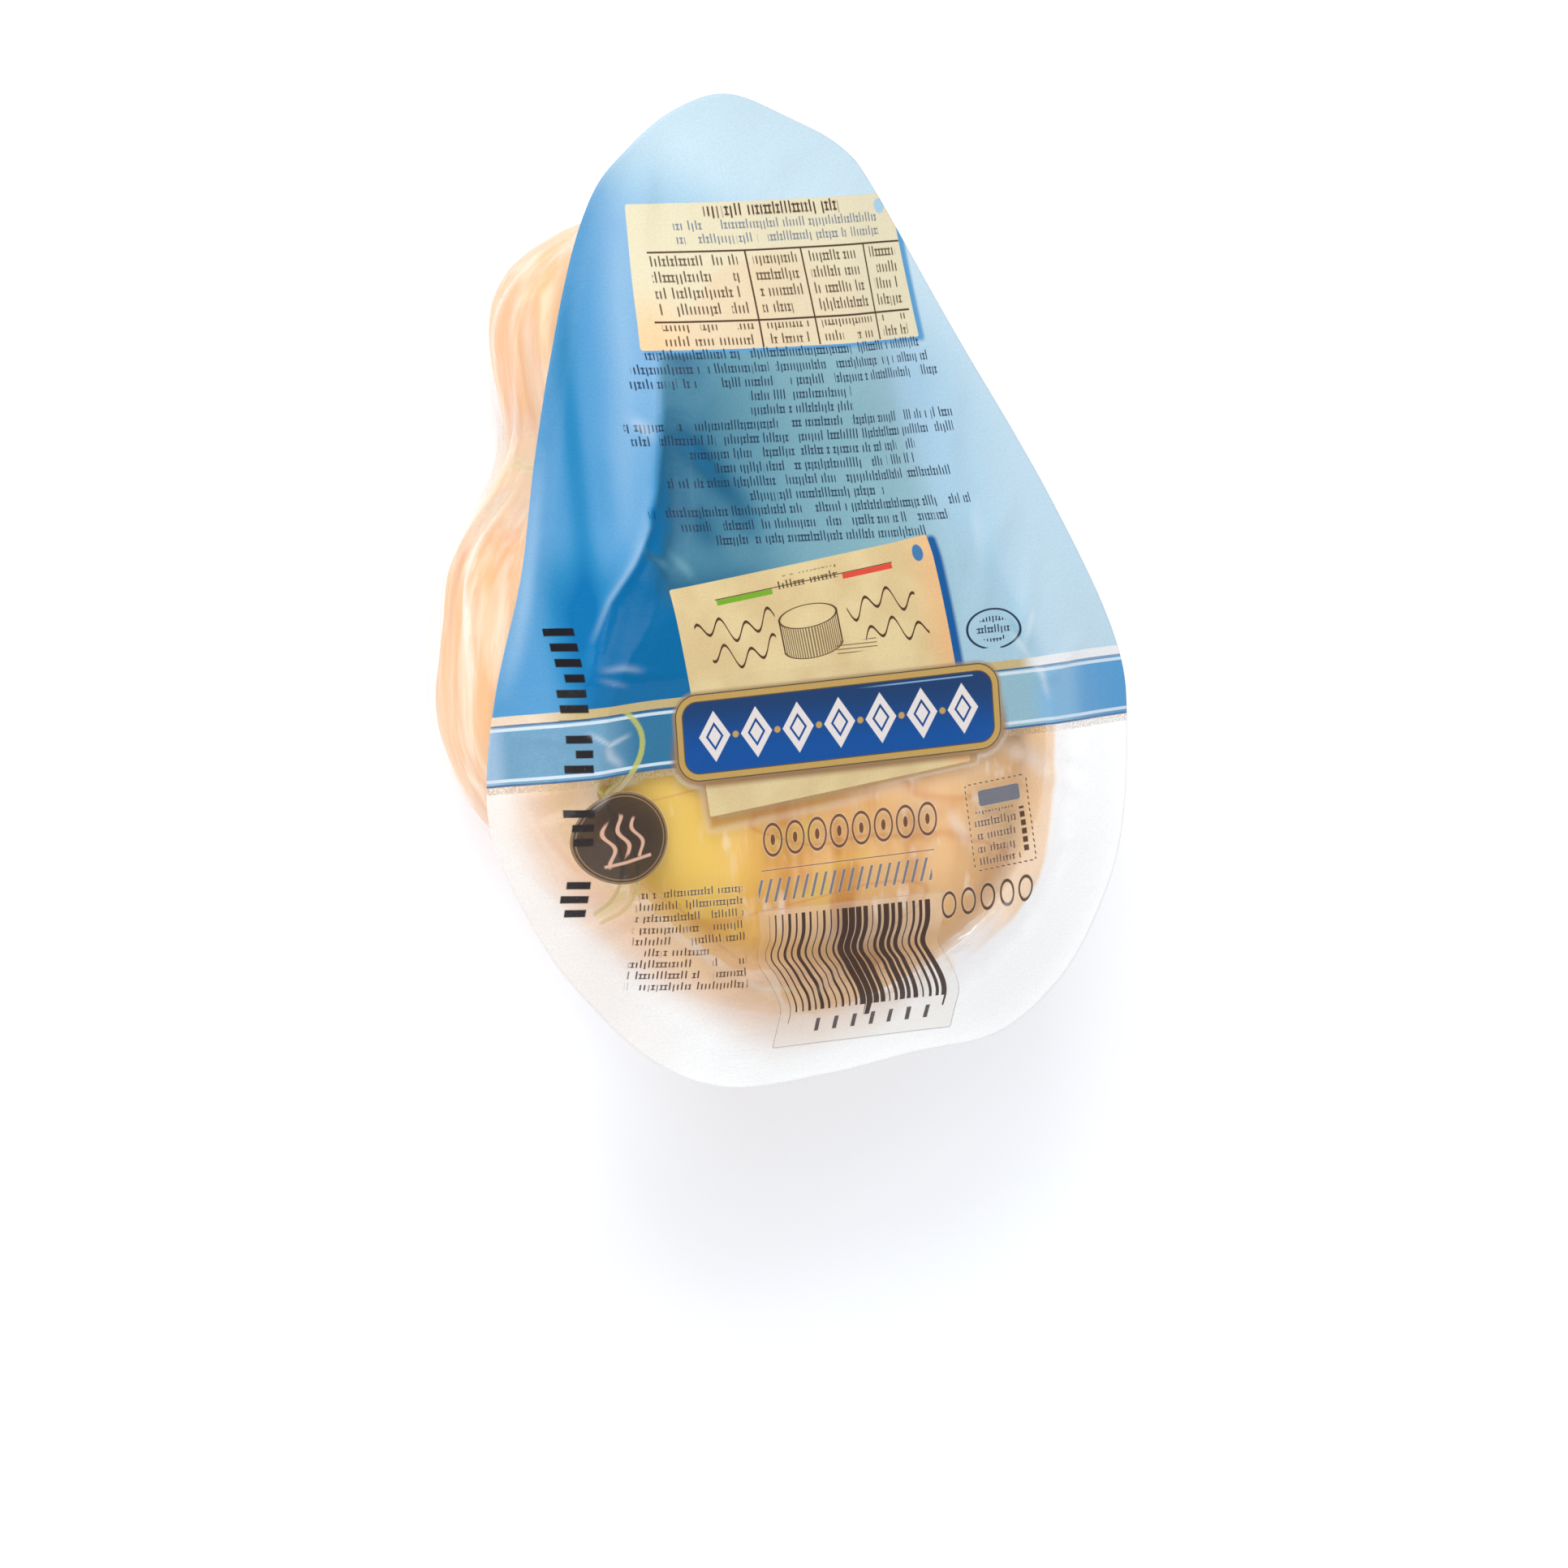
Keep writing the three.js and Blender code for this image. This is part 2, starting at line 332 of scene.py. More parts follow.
class Value:
    """A number, colour or vector that changes over a surface. Sums on it add shader nodes."""

    def __init__(self, finish, socket):
        self.finish = finish
        self.socket = socket

    def sum(self, operation, *others):
        numbers = dict(enumerate([self, *others]))
        return self.finish.node("Math", {"operation": operation}, numbers)

    def __add__(self, other):
        return self.sum("ADD", other)

    def __sub__(self, other):
        return self.sum("SUBTRACT", other)

    def __rsub__(self, other):
        return self.finish.node("Math", {"operation": "SUBTRACT"}, {0: other, 1: self})

    def __mul__(self, other):
        return self.sum("MULTIPLY", other)

    __radd__ = __add__
    __rmul__ = __mul__

    def __truediv__(self, other):
        return self.sum("DIVIDE", other)

    def __abs__(self):
        return self.sum("ABSOLUTE")

    def most(self, other):
        return self.sum("MAXIMUM", other)

    def rise(self, low, high):
        """0 below low, 1 above high, and a smooth step between them."""
        ends = {"Value": self, "From Min": low, "From Max": high}
        return self.finish.node("MapRange", {"interpolation_type": "SMOOTHSTEP"}, ends)

    def parts(self):
        """The x, y and z of a vector."""
        return [self.finish.node("SeparateXYZ", {}, {0: self}, output) for output in range(3)]


class Finish:
    """A material and the nodes that it is made of."""

    def __init__(self, name):
        self.material = bpy.data.materials.new(name)
        self.material.use_nodes = True
        self.tree = self.material.node_tree
        self.tree.nodes.clear()

    def node(self, kind, settings, sockets, output=0):
        made = self.tree.nodes.new("ShaderNode" + kind)
        for key, setting in settings.items():
            if key == "stops":
                self.set_stops(made.color_ramp, setting)
            elif key == "constant":
                made.color_ramp.interpolation = "CONSTANT"
            else:
                setattr(made, key, setting)
        for key, value in sockets.items():
            if isinstance(value, Value):
                self.tree.links.new(value.socket, made.inputs[key])
            else:
                made.inputs[key].default_value = value
        return Value(self, made.outputs[output]) if made.outputs else None

    def set_stops(self, ramp, stops):
        while len(ramp.elements) < len(stops):
            ramp.elements.new(0.5)
        for element, (position, colour) in zip(ramp.elements, stops):
            element.position = position
            element.color = colour

    def mix(self, share, low, high):
        """The low colour where share is 0 and the high colour where it is 1."""
        return self.node("Mix", {"data_type": "RGBA"}, {0: share, 6: low, 7: high}, 2)

    def ramp(self, value, low, high, colours):
        """Colours one after another as the value goes from low to high."""
        share = (value - low) / (high - low)
        stops = [(i / (len(colours) - 1), colour) for i, colour in enumerate(colours)]
        return self.node("ValToRGB", {"stops": stops}, {0: share})

    def steps(self, share, heights):
        """A number for each of the equal steps that the share goes through from 0 to 1."""
        stops = [(i / len(heights), (height, height, height, 1)) for i, height in enumerate(heights)]
        return self.node("ValToRGB", {"stops": stops, "constant": True}, {0: share})

    def scaled(self, vector, scale):
        return self.node("VectorMath", {"operation": "SCALE"}, {0: vector, "Scale": scale})

    def place_in_mm(self):
        """The place on the piece, in millimetres of the row's frame."""
        return self.scaled(self.node("TexCoord", {}, {}, 3), 1000)

    def squeezed(self, place, shares):
        """A place with its axes shortened, so that what is drawn on it comes out stretched along them."""
        return self.node("VectorMath", {"operation": "MULTIPLY"}, {0: place, 1: shares})

    def stored(self, name, output=2):
        """What the mesh keeps under a name: a number from output 2, a vector from output 1."""
        return self.node("Attribute", {"attribute_name": name}, {}, output)

    def mottle(self, place, size, detail=2.0):
        """Noise about 0.5 whose lumps are about size across, in the place's own units."""
        sockets = {"Vector": place, "Scale": 1 / size, "Detail": detail}
        return self.node("TexNoise", {}, sockets)

    def chance(self, number):
        """A random number from 0 to 1 for each whole number."""
        return self.node("TexWhiteNoise", {"noise_dimensions": "1D"}, {"W": number})

    def bump(self, strength, distance, height):
        return self.node("Bump", {}, {"Strength": strength, "Distance": distance, "Height": height})

    def show(self, shader):
        self.node("OutputMaterial", {}, {"Surface": shader})

    def show_body(self, look):
        self.show(self.node("BsdfPrincipled", {}, look))

    def show_film(self, cover, look, bump, least_gloss, most_gloss, gloss_roughness):
        """A clear film with its look where something covers it, and gloss over both."""
        body = self.node("MixShader", {}, {
            0: cover,
            1: self.node("BsdfTransparent", {}, {}),
            2: self.node("BsdfPrincipled", {}, {**look, "Normal": bump}),
        })
        facing = self.node("LayerWeight", {}, {"Blend": 0.5, "Normal": bump}, 1)
        gloss = least_gloss + facing.sum("POWER", GLOSS_STEEPNESS) * (most_gloss - least_gloss)
        mirror = {"Color": (1, 1, 1, 1), "Roughness": gloss_roughness, "Normal": bump}
        self.show(self.node("MixShader", {}, {0: gloss, 1: body, 2: self.node("BsdfGlossy", {}, mirror)}))


# How bright the studio makes a white sheet that lies flat, so that a colour comes out as it is named
STUDIO_LIGHT = 1.26


def paint(red, green, blue):
    """The surface colour that shows as this screen colour in the studio's light."""
    levels = [level / 255 for level in (red, green, blue)]
    linear = [v / 12.92 if v <= 0.04045 else ((v + 0.055) / 1.055) ** 2.4 for v in levels]
    return (*[min(v / STUDIO_LIGHT, 1.0) for v in linear], 1.0)


CHEESE_PEACH = paint(250, 184, 106)
CHEESE_PALE = paint(255, 222, 178)
CHEESE_ORANGE = paint(243, 163, 74)
CHEESE_FOLD_SHADE = paint(226, 142, 68)
CHEESE_GOLD = paint(254, 198, 126)
CHEESE_MILKY = paint(255, 218, 178)
CHEESE_YELLOW = paint(251, 208, 98)
CHEESE_AMBER = paint(232, 160, 72)

cheese_finish = Finish("smoked cheese skin")
cheese_place = cheese_finish.place_in_mm()
cheese_x, _, cheese_z = cheese_place.parts()
along_fibres = cheese_finish.squeezed(cheese_place, (1, 0.16, 1))
broad = cheese_finish.mottle(cheese_place, 13)
fibres = cheese_finish.mottle(along_fibres, 1.6, 4.0)
streaks = cheese_finish.mottle(along_fibres, 4.5, 3.0)
long_folds = cheese_finish.mottle(cheese_finish.squeezed(cheese_place, (1, 0.1, 1)), 8, 0.6)
across_folds = cheese_finish.mottle(cheese_finish.squeezed(cheese_place, (0.35, 1, 1)), 9, 0.6)

# The skin of the sides and the back, with orange streaks along it, and soft orange and darker bands of
# painted shade along long folds
skin = cheese_finish.mix(streaks.rise(0.42, 0.62), CHEESE_PEACH, CHEESE_PALE)
skin = cheese_finish.mix(fibres.rise(0.54, 0.74) * 0.35, skin, CHEESE_ORANGE)
skin = cheese_finish.mix(long_folds.rise(0.53, 0.66) * 0.55, skin, CHEESE_ORANGE)
skin = cheese_finish.mix(long_folds.rise(0.46, 0.36) * 0.4, skin, CHEESE_FOLD_SHADE)

# The front and the right, more golden, with yellow at the left of the belly and a milky right
yellow_patch = broad.rise(0.56, 0.64) * 0.7
yellow_left = (cheese_x * -1 + broad * 10).rise(10, 24)
yellow_share = yellow_left.most(yellow_patch) * cheese_z.rise(34, 48)
amber_share = streaks.rise(0.46, 0.64) * (0.4 + 0.6 * cheese_z.rise(30, 46))
amber_share = amber_share * (1 - cheese_x.rise(2, 16) * 0.5)
gold = cheese_finish.mix(amber_share, CHEESE_GOLD, CHEESE_AMBER)
gold = cheese_finish.mix(yellow_share, gold, CHEESE_YELLOW)
gold = cheese_finish.mix(fibres.rise(0.58, 0.74) * 0.4, gold, CHEESE_PALE)
gold = cheese_finish.mix(cheese_x.rise(3, 14) * (0.3 + broad.rise(0.4, 0.6) * 0.4), gold, CHEESE_MILKY)
# Thin darker lines of painted shade, as in folds across the front
fold_lines = abs(across_folds - 0.5).rise(0.02, 0) * cheese_z.rise(40, 50)
gold = cheese_finish.mix(fold_lines * 0.4, gold, CHEESE_FOLD_SHADE)
right_side = (cheese_x + broad * 6).rise(-28, -12) * cheese_z.rise(8, 26)
front = (cheese_z + broad * 4).rise(44, 52).most(right_side)
cheese_finish.show_body({
    "Base Color": cheese_finish.mix(front, skin, gold),
    "Roughness": 0.34 + fibres * 0.2,
    "Normal": cheese_finish.bump(0.25, 0.0004, fibres),
    "Subsurface Weight": 0.12,
    "Subsurface Radius": (1.0, 0.6, 0.35),
    "Subsurface Scale": 0.004,
    "Specular IOR Level": 0.14,
    "Coat Weight": 0.06,
    "Coat Roughness": 0.18,
})

polar = np.pi * np.arange(1, CHEESE_RINGS) / CHEESE_RINGS
polar_grid, bearing_grid = np.meshgrid(polar, bearings_round(CHEESE_BEARINGS), indexing="ij")
cheese_rays = np.stack([
    np.sin(polar_grid) * np.sin(bearing_grid),
    np.cos(polar_grid),
    np.sin(polar_grid) * np.cos(bearing_grid),
], axis=-1).reshape(-1, 3)
cheese_rays = np.vstack([[(0, 1, 0)], cheese_rays, [(0, -1, 0)]])
cheese_points = surface_along(cheese_rays, cheese_distance, POUCH_MIDDLE)
relief = FIBRE_HEIGHT * noise_at(cheese_points * FIBRE_STRETCH, FIBRE_SIZE, 1)
relief += DENT_HEIGHT * (noise_at(cheese_points, DENT_SIZE, 2) - 0.5)
below_film = film_height(cheese_points[:, 0], cheese_points[:, 1]) - cheese_points[:, 2]
clear_of_film = ease((below_film - FILM_CLEARANCE) / CLEARANCE_RUN)
clear_of_table = ease((cheese_points[:, 2] - TABLE_Z - TABLE_CLEARANCE) / CLEARANCE_RUN)
relief *= PRESSED_RELIEF + (1 - PRESSED_RELIEF) * clear_of_film * clear_of_table
relief = np.minimum(relief, SKIN_GAP / 2)
cheese_points = cheese_points + cheese_rays * relief[:, None]

ring_count = CHEESE_RINGS - 1
cheese_faces = (grid_faces(ring_count, CHEESE_BEARINGS) + 1).tolist()
first_ring = 1 + np.arange(CHEESE_BEARINGS)
last_ring = first_ring + (ring_count - 1) * CHEESE_BEARINGS
cheese_faces += fan_faces(0, first_ring, False).tolist()
cheese_faces += fan_faces(len(cheese_points) - 1, last_ring, True).tolist()
cheese = new_piece("cheese", cheese_points, cheese_faces, cheese_finish)


# Yellow tie
# A thin twisted string goes twice round the neck, by which the cheese hung in the smoke. The loop that it
# hung from and a short end run down over the left of the belly, loose under the front film.
STRING_RADIUS = 0.3
STRING_SIDES = 10
STRING_TWIST_PITCH = 1.6
STRING_WAIST = 0.74
STRING_UP = (0.13, 0.2, 1.0)
STRING_CURVE_STEPS = 12
STRING_SAG = 1.5
STRING_SMOOTHING = 4
STRING_STEP = 0.4
TIE_TURNS = 2
TIE_POINTS = 56
TIE_PITCH = 0.95
TIE_LIFT = 0.09
TIE_STEP = 0.35
NECK_AXIS = np.array([-3, 0, -22])
SEARCH_STEP = 0.1
SEARCH_STEPS = 400
STRING_YELLOW = paint(226, 214, 52)
STRING_PALE = paint(240, 232, 130)
# Places of the loop and of the short end on the front of the pack, from the neck to the belly's lower left
LOOSE_LOOP = [
    (-27.5, 31), (-29.5, 22), (-31.5, 13), (-32.4, 7.2), (-29.5, 6.6), (-27.0, 3.6), (-27.1, 0.4),
    (-29.2, -2.8), (-31.3, -5.0), (-30.2, -9.5), (-29.4, -14.5), (-30.3, -18.2), (-32.2, -20.4),
]
SHORT_END = [
    (-26.2, 30), (-28.2, 21), (-30.8, 12), (-31.6, 4.6), (-32.9, -1.5), (-30.9, -5.8), (-28.2, -11),
    (-27.4, -16), (-28.8, -19.6), (-31.4, -21.6),
]

string_finish = Finish("yellow string")
ply = string_finish.mottle(string_finish.place_in_mm(), 0.5, 3.0)
string_finish.show_body({
    "Base Color": string_finish.mix(ply.rise(0.35, 0.65), STRING_YELLOW, STRING_PALE),
    "Roughness": 0.3 + ply * 0.3,
    "Normal": string_finish.bump(0.4, 0.0002, ply),
})


def lengths_along(line):
    """How far along a line each of its points is."""
    return np.concatenate([[0], np.cumsum(np.linalg.norm(np.diff(line, axis=0), axis=1))])


def resampled(line, step):
    """The same line with its points evenly spaced."""
    lengths = lengths_along(line)
    wanted = np.linspace(0, lengths[-1], max(2, int(lengths[-1] / step)))
    return np.stack([np.interp(wanted, lengths, line[:, axis]) for axis in range(3)], axis=1)


def string_tube(centres):
    """Points and faces of a two-ply string along a line of points."""
    ahead = np.gradient(centres, axis=0)
    ahead /= np.linalg.norm(ahead, axis=1)[:, None]
    side = np.cross(ahead, STRING_UP)
    side /= np.linalg.norm(side, axis=1)[:, None]
    over = np.cross(side, ahead)
    angles = bearings_round(STRING_SIDES)
    twist = FULL_TURN * lengths_along(centres)[:, None] / STRING_TWIST_PITCH
    bulge = np.abs(np.cos(angles[None, :] - twist))
    radius = STRING_RADIUS * (STRING_WAIST + (1 - STRING_WAIST) * bulge)
    rings = (
        centres[:, None, :]
        + side[:, None, :] * (radius * np.cos(angles))[:, :, None]
        + over[:, None, :] * (radius * np.sin(angles))[:, :, None]
    )
    points = np.vstack([rings.reshape(-1, 3), centres[:1], centres[-1:]])
    faces = grid_faces(len(centres), STRING_SIDES)[:, ::-1].tolist()
    start_ring = np.arange(STRING_SIDES)
    end_ring = start_ring + (len(centres) - 1) * STRING_SIDES
    faces += fan_faces(len(points) - 2, start_ring, True).tolist()
    faces += fan_faces(len(points) - 1, end_ring, False).tolist()
    return points, faces


def top_of_cheese(x, y):
    """Height of the cheese's front at each place, found from above."""
    columns = np.stack([x, y, film_height(x, y) - 1], axis=1)
    for _ in range(SEARCH_STEPS):
        outside = cheese_distance(columns) > 0
        if not outside.any():
            break
        columns[outside, 2] -= SEARCH_STEP
    return columns[:, 2]


turn = np.linspace(0, FULL_TURN * TIE_TURNS, TIE_POINTS * TIE_TURNS)
tie_rays = np.stack([np.sin(turn), np.zeros(len(turn)), np.cos(turn)], axis=1)
tie_ys = TIE_Y + TIE_PITCH * (turn / FULL_TURN - TIE_TURNS / 2)
tie_line = []
for ray, tie_y in zip(tie_rays, tie_ys):
    on_cheese = surface_along(ray[None, :], cheese_distance, NECK_AXIS + (0, tie_y, 0))[0]
    tie_line.append(on_cheese + ray * TIE_LIFT)
tie_points, tie_faces = string_tube(resampled(np.array(tie_line), TIE_STEP))
neck_tie = new_piece("neck_tie", tie_points, tie_faces, string_finish)

for name, places in (("loose_loop", LOOSE_LOOP), ("short_end", SHORT_END)):
    flat_line = curve_through(places, STRING_CURVE_STEPS, False)
    on_top = top_of_cheese(flat_line[:, 0], flat_line[:, 1])
    under_film = film_height(flat_line[:, 0], flat_line[:, 1]) - FILM_ALLOWANCE
    height = np.clip(on_top + STRING_RADIUS, under_film - STRING_SAG, under_film)
    span = 2 * STRING_SMOOTHING + 1
    height = np.convolve(np.pad(height, STRING_SMOOTHING, mode="edge"), np.ones(span) / span, mode="valid")
    points, faces = string_tube(resampled(np.column_stack([flat_line, height]), STRING_STEP))
    string_end = new_piece(name, points, faces, string_finish)


# Clear back film
# A clear film that was shrunk onto the cheese by heat and sealed to the front film round the rim. It clings
# to the cheese all round, is milky where it bridges the tie, and has long creases up its left side, with
# painted highlights along them and soft streaks that are partly haze and partly painted sheen.
BACK_FILM_CENTRE = (-2, 18)
BACK_BEARINGS = 420
BACK_STEPS = 170
PROFILE_ANGLES = 240
POLE_GAP = 0.012
RIM_INSET = 0.998
SEAL_GAP = 0.16
FLANGE_SHARE = 0.9
FLANGE_STEPS = 160
# Where the film leaves the seal for the cheese, and how the corner there is rounded off
ROOT_GAP = 4.5
ROOT_TURN = 0.12
ROOT_REACH = 6
ROOT_BLEND = 3
ROOT_SMOOTHING = 9
FILM_GAP = 0.05
CREASE_HEIGHT = 0.6
# How much painted highlight lies along the creases
CREASE_HIGHLIGHT = 0.5
# The creases, each as places up the pack with angles round to the back, and its width
CREASES = [
    ([(57, -8), (48, -3), (38, 1), (28, 3), (16, 4), (6, 3)], 0.8),
    ([(36, -9), (27, -6), (15, -9), (2, -14)], 0.9),
    ([(64, 4), (57, 8), (48, 13)], 0.8),
    ([(24, 12), (12, 15), (-2, 13)], 1.0),
]


def round_centre(centre, reach, bearing):
    """The x and y of places at some reach from a centre."""
    return centre[0] + reach * np.cos(bearing), centre[1] + reach * np.sin(bearing)


def distance_to_path(x, y, path):
    """Distance to a line of straight stretches, how far along it the nearest place is, and the side."""
    best = np.full(x.shape, 1e9)
    along = np.zeros(x.shape)
    side = np.ones(x.shape)
    stretches = len(path) - 1
    for i, (start, end) in enumerate(zip(path, path[1:])):
        ax, ay = end[0] - start[0], end[1] - start[1]
        t = np.clip(((x - start[0]) * ax + (y - start[1]) * ay) / (ax * ax + ay * ay), 0, 1)
        off_x = x - start[0] - t * ax
        off_y = y - start[1] - t * ay
        distance = np.hypot(off_x, off_y)
        nearer = distance < best
        best = np.where(nearer, distance, best)
        along = np.where(nearer, (i + t) / stretches, along)
        side = np.where(nearer, np.sign(ax * off_y - ay * off_x), side)
    return best, along, side


def fold(x, y, path, height, left, right):
    """A fold along a path, falling off over different widths to its left and right."""
    distance, along, side = distance_to_path(x, y, path)
    width = np.where(side > 0, left, right)
    ends = np.sqrt(np.sin(np.pi * np.clip(along, 0.02, 0.98)))
    return height * ends * np.exp(-((distance / width) ** 2))


def on_crease(points):
    """1 on the long creases up the left of the pouch, falling off to 0 beside them."""
    offset = points - POUCH_MIDDLE
    reach = np.hypot(offset[:, 0], offset[:, 2])
    round_to_back = np.degrees(np.arctan2(-offset[:, 2], -offset[:, 0]))
    crease = np.zeros(len(points))
    for places, width in CREASES:
        ys, angles = np.array(sorted(places)).T
        across = np.radians(round_to_back - np.interp(points[:, 1], ys, angles)) * reach
        along = np.sin(np.pi * np.clip((points[:, 1] - ys[0]) / (ys[-1] - ys[0]), 0, 1))
        crease = np.maximum(crease, along * np.exp(-((across / width) ** 2)))
    return crease


def pouch_distance(points):
    """Distance to what the back film is drawn over: the pressed pear, and the creases that stand out."""
    return pressed(pear(points) - CREASE_HEIGHT * on_crease(points), points, 0)


# Folds of the front film, each as its path, height, and widths to the left and right of the path
FILM_FOLDS = [
    ([
        (-17.4, 53), (-18.6, 46), (-19.8, 38), (-20.8, 33),
        (-22.6, 28.6), (-25, 24.6), (-28.6, 19.6), (-32.6, 10.4),
    ], 1.15, 0.9, 3.0),
    ([(-16.4, 44), (-17.4, 33), (-20.6, 24), (-26.5, 14)], -0.55, 2.0, 1.6),
    ([(-21.5, 64), (-24.8, 56), (-28.6, 44), (-31.8, 32), (-33.8, 22), (-35.2, 12)], -0.5, 1.5, 2.0),
    ([(-19.3, 66), (-22.2, 52), (-25.6, 36), (-28.6, 24), (-32.4, 12)], 0.45, 1.8, 1.5),
    ([(-9.8, 77), (-5.5, 74), (-1.2, 69.5)], 0.3, 2.4, 2.0),
    ([(10.2, 74), (5.0, 73), (1.5, 69.5)], 0.28, 2.0, 2.2),
    ([(-13, 73), (-14.2, 69), (-16.5, 62)], 0.35, 1.4, 2.2),
    ([(31, 20), (27.0, 13), (25.5, 8)], 0.5, 1.6, 1.2),
    ([(37, 9), (31, 5.4), (27.5, 5.2)], 0.45, 1.0, 1.4),
    ([(30, 27), (24.5, 22.5), (21, 16)], 0.4, 2.0, 1.6),
    ([(25, 43), (21.5, 34), (20.5, 27)], 0.45, 1.8, 2.2),
    ([(-42, 3.4), (-37, 3.2), (-31, 1.4)], 0.4, 1.2, 1.0),
    ([(-40.4, 6.8), (-36.2, 5.0), (-32.2, 5.0)], 0.35, 0.8, 1.0),
    ([(-33.0, 11.8), (-27, 10.9), (-22.5, 10.2)], 0.32, 0.7, 1.0),
    ([(-36, -4.5), (-33, -2.5), (-28, -1.5)], 0.3, 0.7, 0.8),
    ([(-20, -25), (-14, -24), (-9, -26)], 0.35, 0.8, 0.7),
    ([(-16, -31.5), (-11, -29), (-4, -28.4)], 0.4, 0.8, 0.9),
    ([(-3, -27.6), (4, -29.4), (11, -28.4)], 0.42, 0.7, 0.9),
]
# Small tucks round the lower half of the cheese, in patches and with a wandering rhythm
TUCK_COUNT = 34
TUCK_HEIGHT = 0.48
TUCK_LENGTH = 4.2
TUCK_OUTSIDE = 1.5
TUCK_WANDER = 5
TUCK_WANDER_SIZE = 9
TUCK_PATCH_SIZE = 7
TUCK_PATCH_LEVEL = 0.4
TUCK_TOP_Y = 4
TUCK_FADE = 12
# Soft waves of the loose film, which are lower where it touches the cheese
SLACK_HEIGHT = 0.22
SLACK_SIZE = 12
SLACK_FINE_SIZE = 4.5
SLACK_FINE_SHARE = 0.35
SLACK_TOUCHING = 0.35
SLACK_RUN = 6
# Outline of the patch where the front film touches the cheese
CONTACT_OUTLINE = np.array([
    (-7.3, 59.6), (2, 61), (10.5, 57.5), (16.6, 49), (16.4, 40.4), (19.2, 30), (24.8, 17),
    (29.0, 5.4), (29.0, -6), (28.0, -13.4), (26.0, -20.8), (21.4, -26), (13.4, -30.8), (4.0, -31.6),
    (-5.4, -30.4), (-13.2, -28.3), (-21.8, -24.3), (-27.4, -19.7), (-32.4, -12.9), (-34.8, -6.4),
    (-34.2, 2), (-31.6, 10.5), (-26.4, 21.0), (-21.0, 30.6), (-18.2, 41.5), (-16.8, 49.7), (-11.8, 54.8),
])
CONTACT_CURVE_STEPS = 10
contact_curve = curve_through(CONTACT_OUTLINE, CONTACT_CURVE_STEPS, True)


def inside_contact(x, y):
    """Distance in millimetres from the edge of the touching patch, more than zero inside it."""
    flat_x = x.ravel()
    flat_y = y.ravel()
    ring = np.vstack([contact_curve, contact_curve[:1]])
    distance, _, _ = distance_to_path(flat_x, flat_y, ring.tolist())
    crossings = np.zeros(len(flat_x), int)
    for (ax, ay), (bx, by) in zip(ring, ring[1:]):
        spans = (ay > flat_y) != (by > flat_y)
        if by != ay:
            crossings += spans & (flat_x < ax + (flat_y - ay) * (bx - ax) / (by - ay))
    return np.where(crossings % 2 == 1, distance, -distance).reshape(x.shape)


def film_surface(x, y):
    """Height of the front film with its folds, tucks and slack."""
    flat_x = x.ravel()
    flat_y = y.ravel()
    height = film_height(flat_x, flat_y)
    for path, rise, left, right in FILM_FOLDS:
        height = height + fold(flat_x, flat_y, path, rise, left, right)
    touching = inside_contact(flat_x, flat_y)
    places = np.column_stack([flat_x, flat_y, np.zeros(len(flat_x))])
    bearing = np.arctan2(flat_y - FILM_CENTRE[1], flat_x - FILM_CENTRE[0])
    wander = noise_at(places, TUCK_WANDER_SIZE, 5)
    patches = np.maximum(0, TUCK_PATCH_LEVEL + noise_at(places, TUCK_PATCH_SIZE, 6))
    tucks = np.sin(TUCK_COUNT * bearing + TUCK_WANDER * wander) * patches
    tucks = tucks * ease((TUCK_TOP_Y - flat_y) / TUCK_FADE)
    height = height + TUCK_HEIGHT * tucks * np.exp(-(((touching + TUCK_OUTSIDE) / TUCK_LENGTH) ** 2))
    slack = noise_at(places, SLACK_SIZE, 7) + SLACK_FINE_SHARE * noise_at(places, SLACK_FINE_SIZE, 8)
    loose = SLACK_TOUCHING + (1 - SLACK_TOUCHING) * ease(-touching / SLACK_RUN)
    height = height + SLACK_HEIGHT * slack * loose
    return height.reshape(x.shape)


CLEAR_WHITE = paint(255, 253, 250)
BRIDGE_CREAM = paint(255, 223, 182)
BACK_HAZE = 0.06
# Soft streaks, partly haze and partly painted sheen
BACK_HAZE_AND_SHEEN = 0.2
BRIDGE_HAZE = 0.46
BRIDGE_REACH = 10
BRIDGE_FINGERS = 14
TIE_ROW_Y = TIE_Y + PACK_SHIFT[1]

back_finish = Finish("clear back film")
back_place = back_finish.place_in_mm()
along_film = back_finish.squeezed(back_place, (1, 0.14, 1))
back_streaks = back_finish.mottle(along_film, 3.0, 3.0)
_, film_y, _ = back_place.parts()
bridge = (abs(film_y - TIE_ROW_Y) + (back_streaks - 0.5) * BRIDGE_FINGERS).rise(BRIDGE_REACH, 1)
back_milk = BACK_HAZE + back_streaks.rise(0.52, 0.74) * BACK_HAZE_AND_SHEEN + bridge * BRIDGE_HAZE
back_look = {"Base Color": back_finish.mix(bridge, CLEAR_WHITE, BRIDGE_CREAM), "Roughness": 0.35}
# The cover is whiter along the creases: painted highlights
back_finish.show_film(
    back_milk + back_finish.stored("crease") * CREASE_HIGHLIGHT,
    back_look,
    back_finish.bump(0.35, 0.0004, back_finish.mottle(along_film, 1.1, 3.0)),
    least_gloss=0.06,
    most_gloss=0.6,
    gloss_roughness=0.16,
)

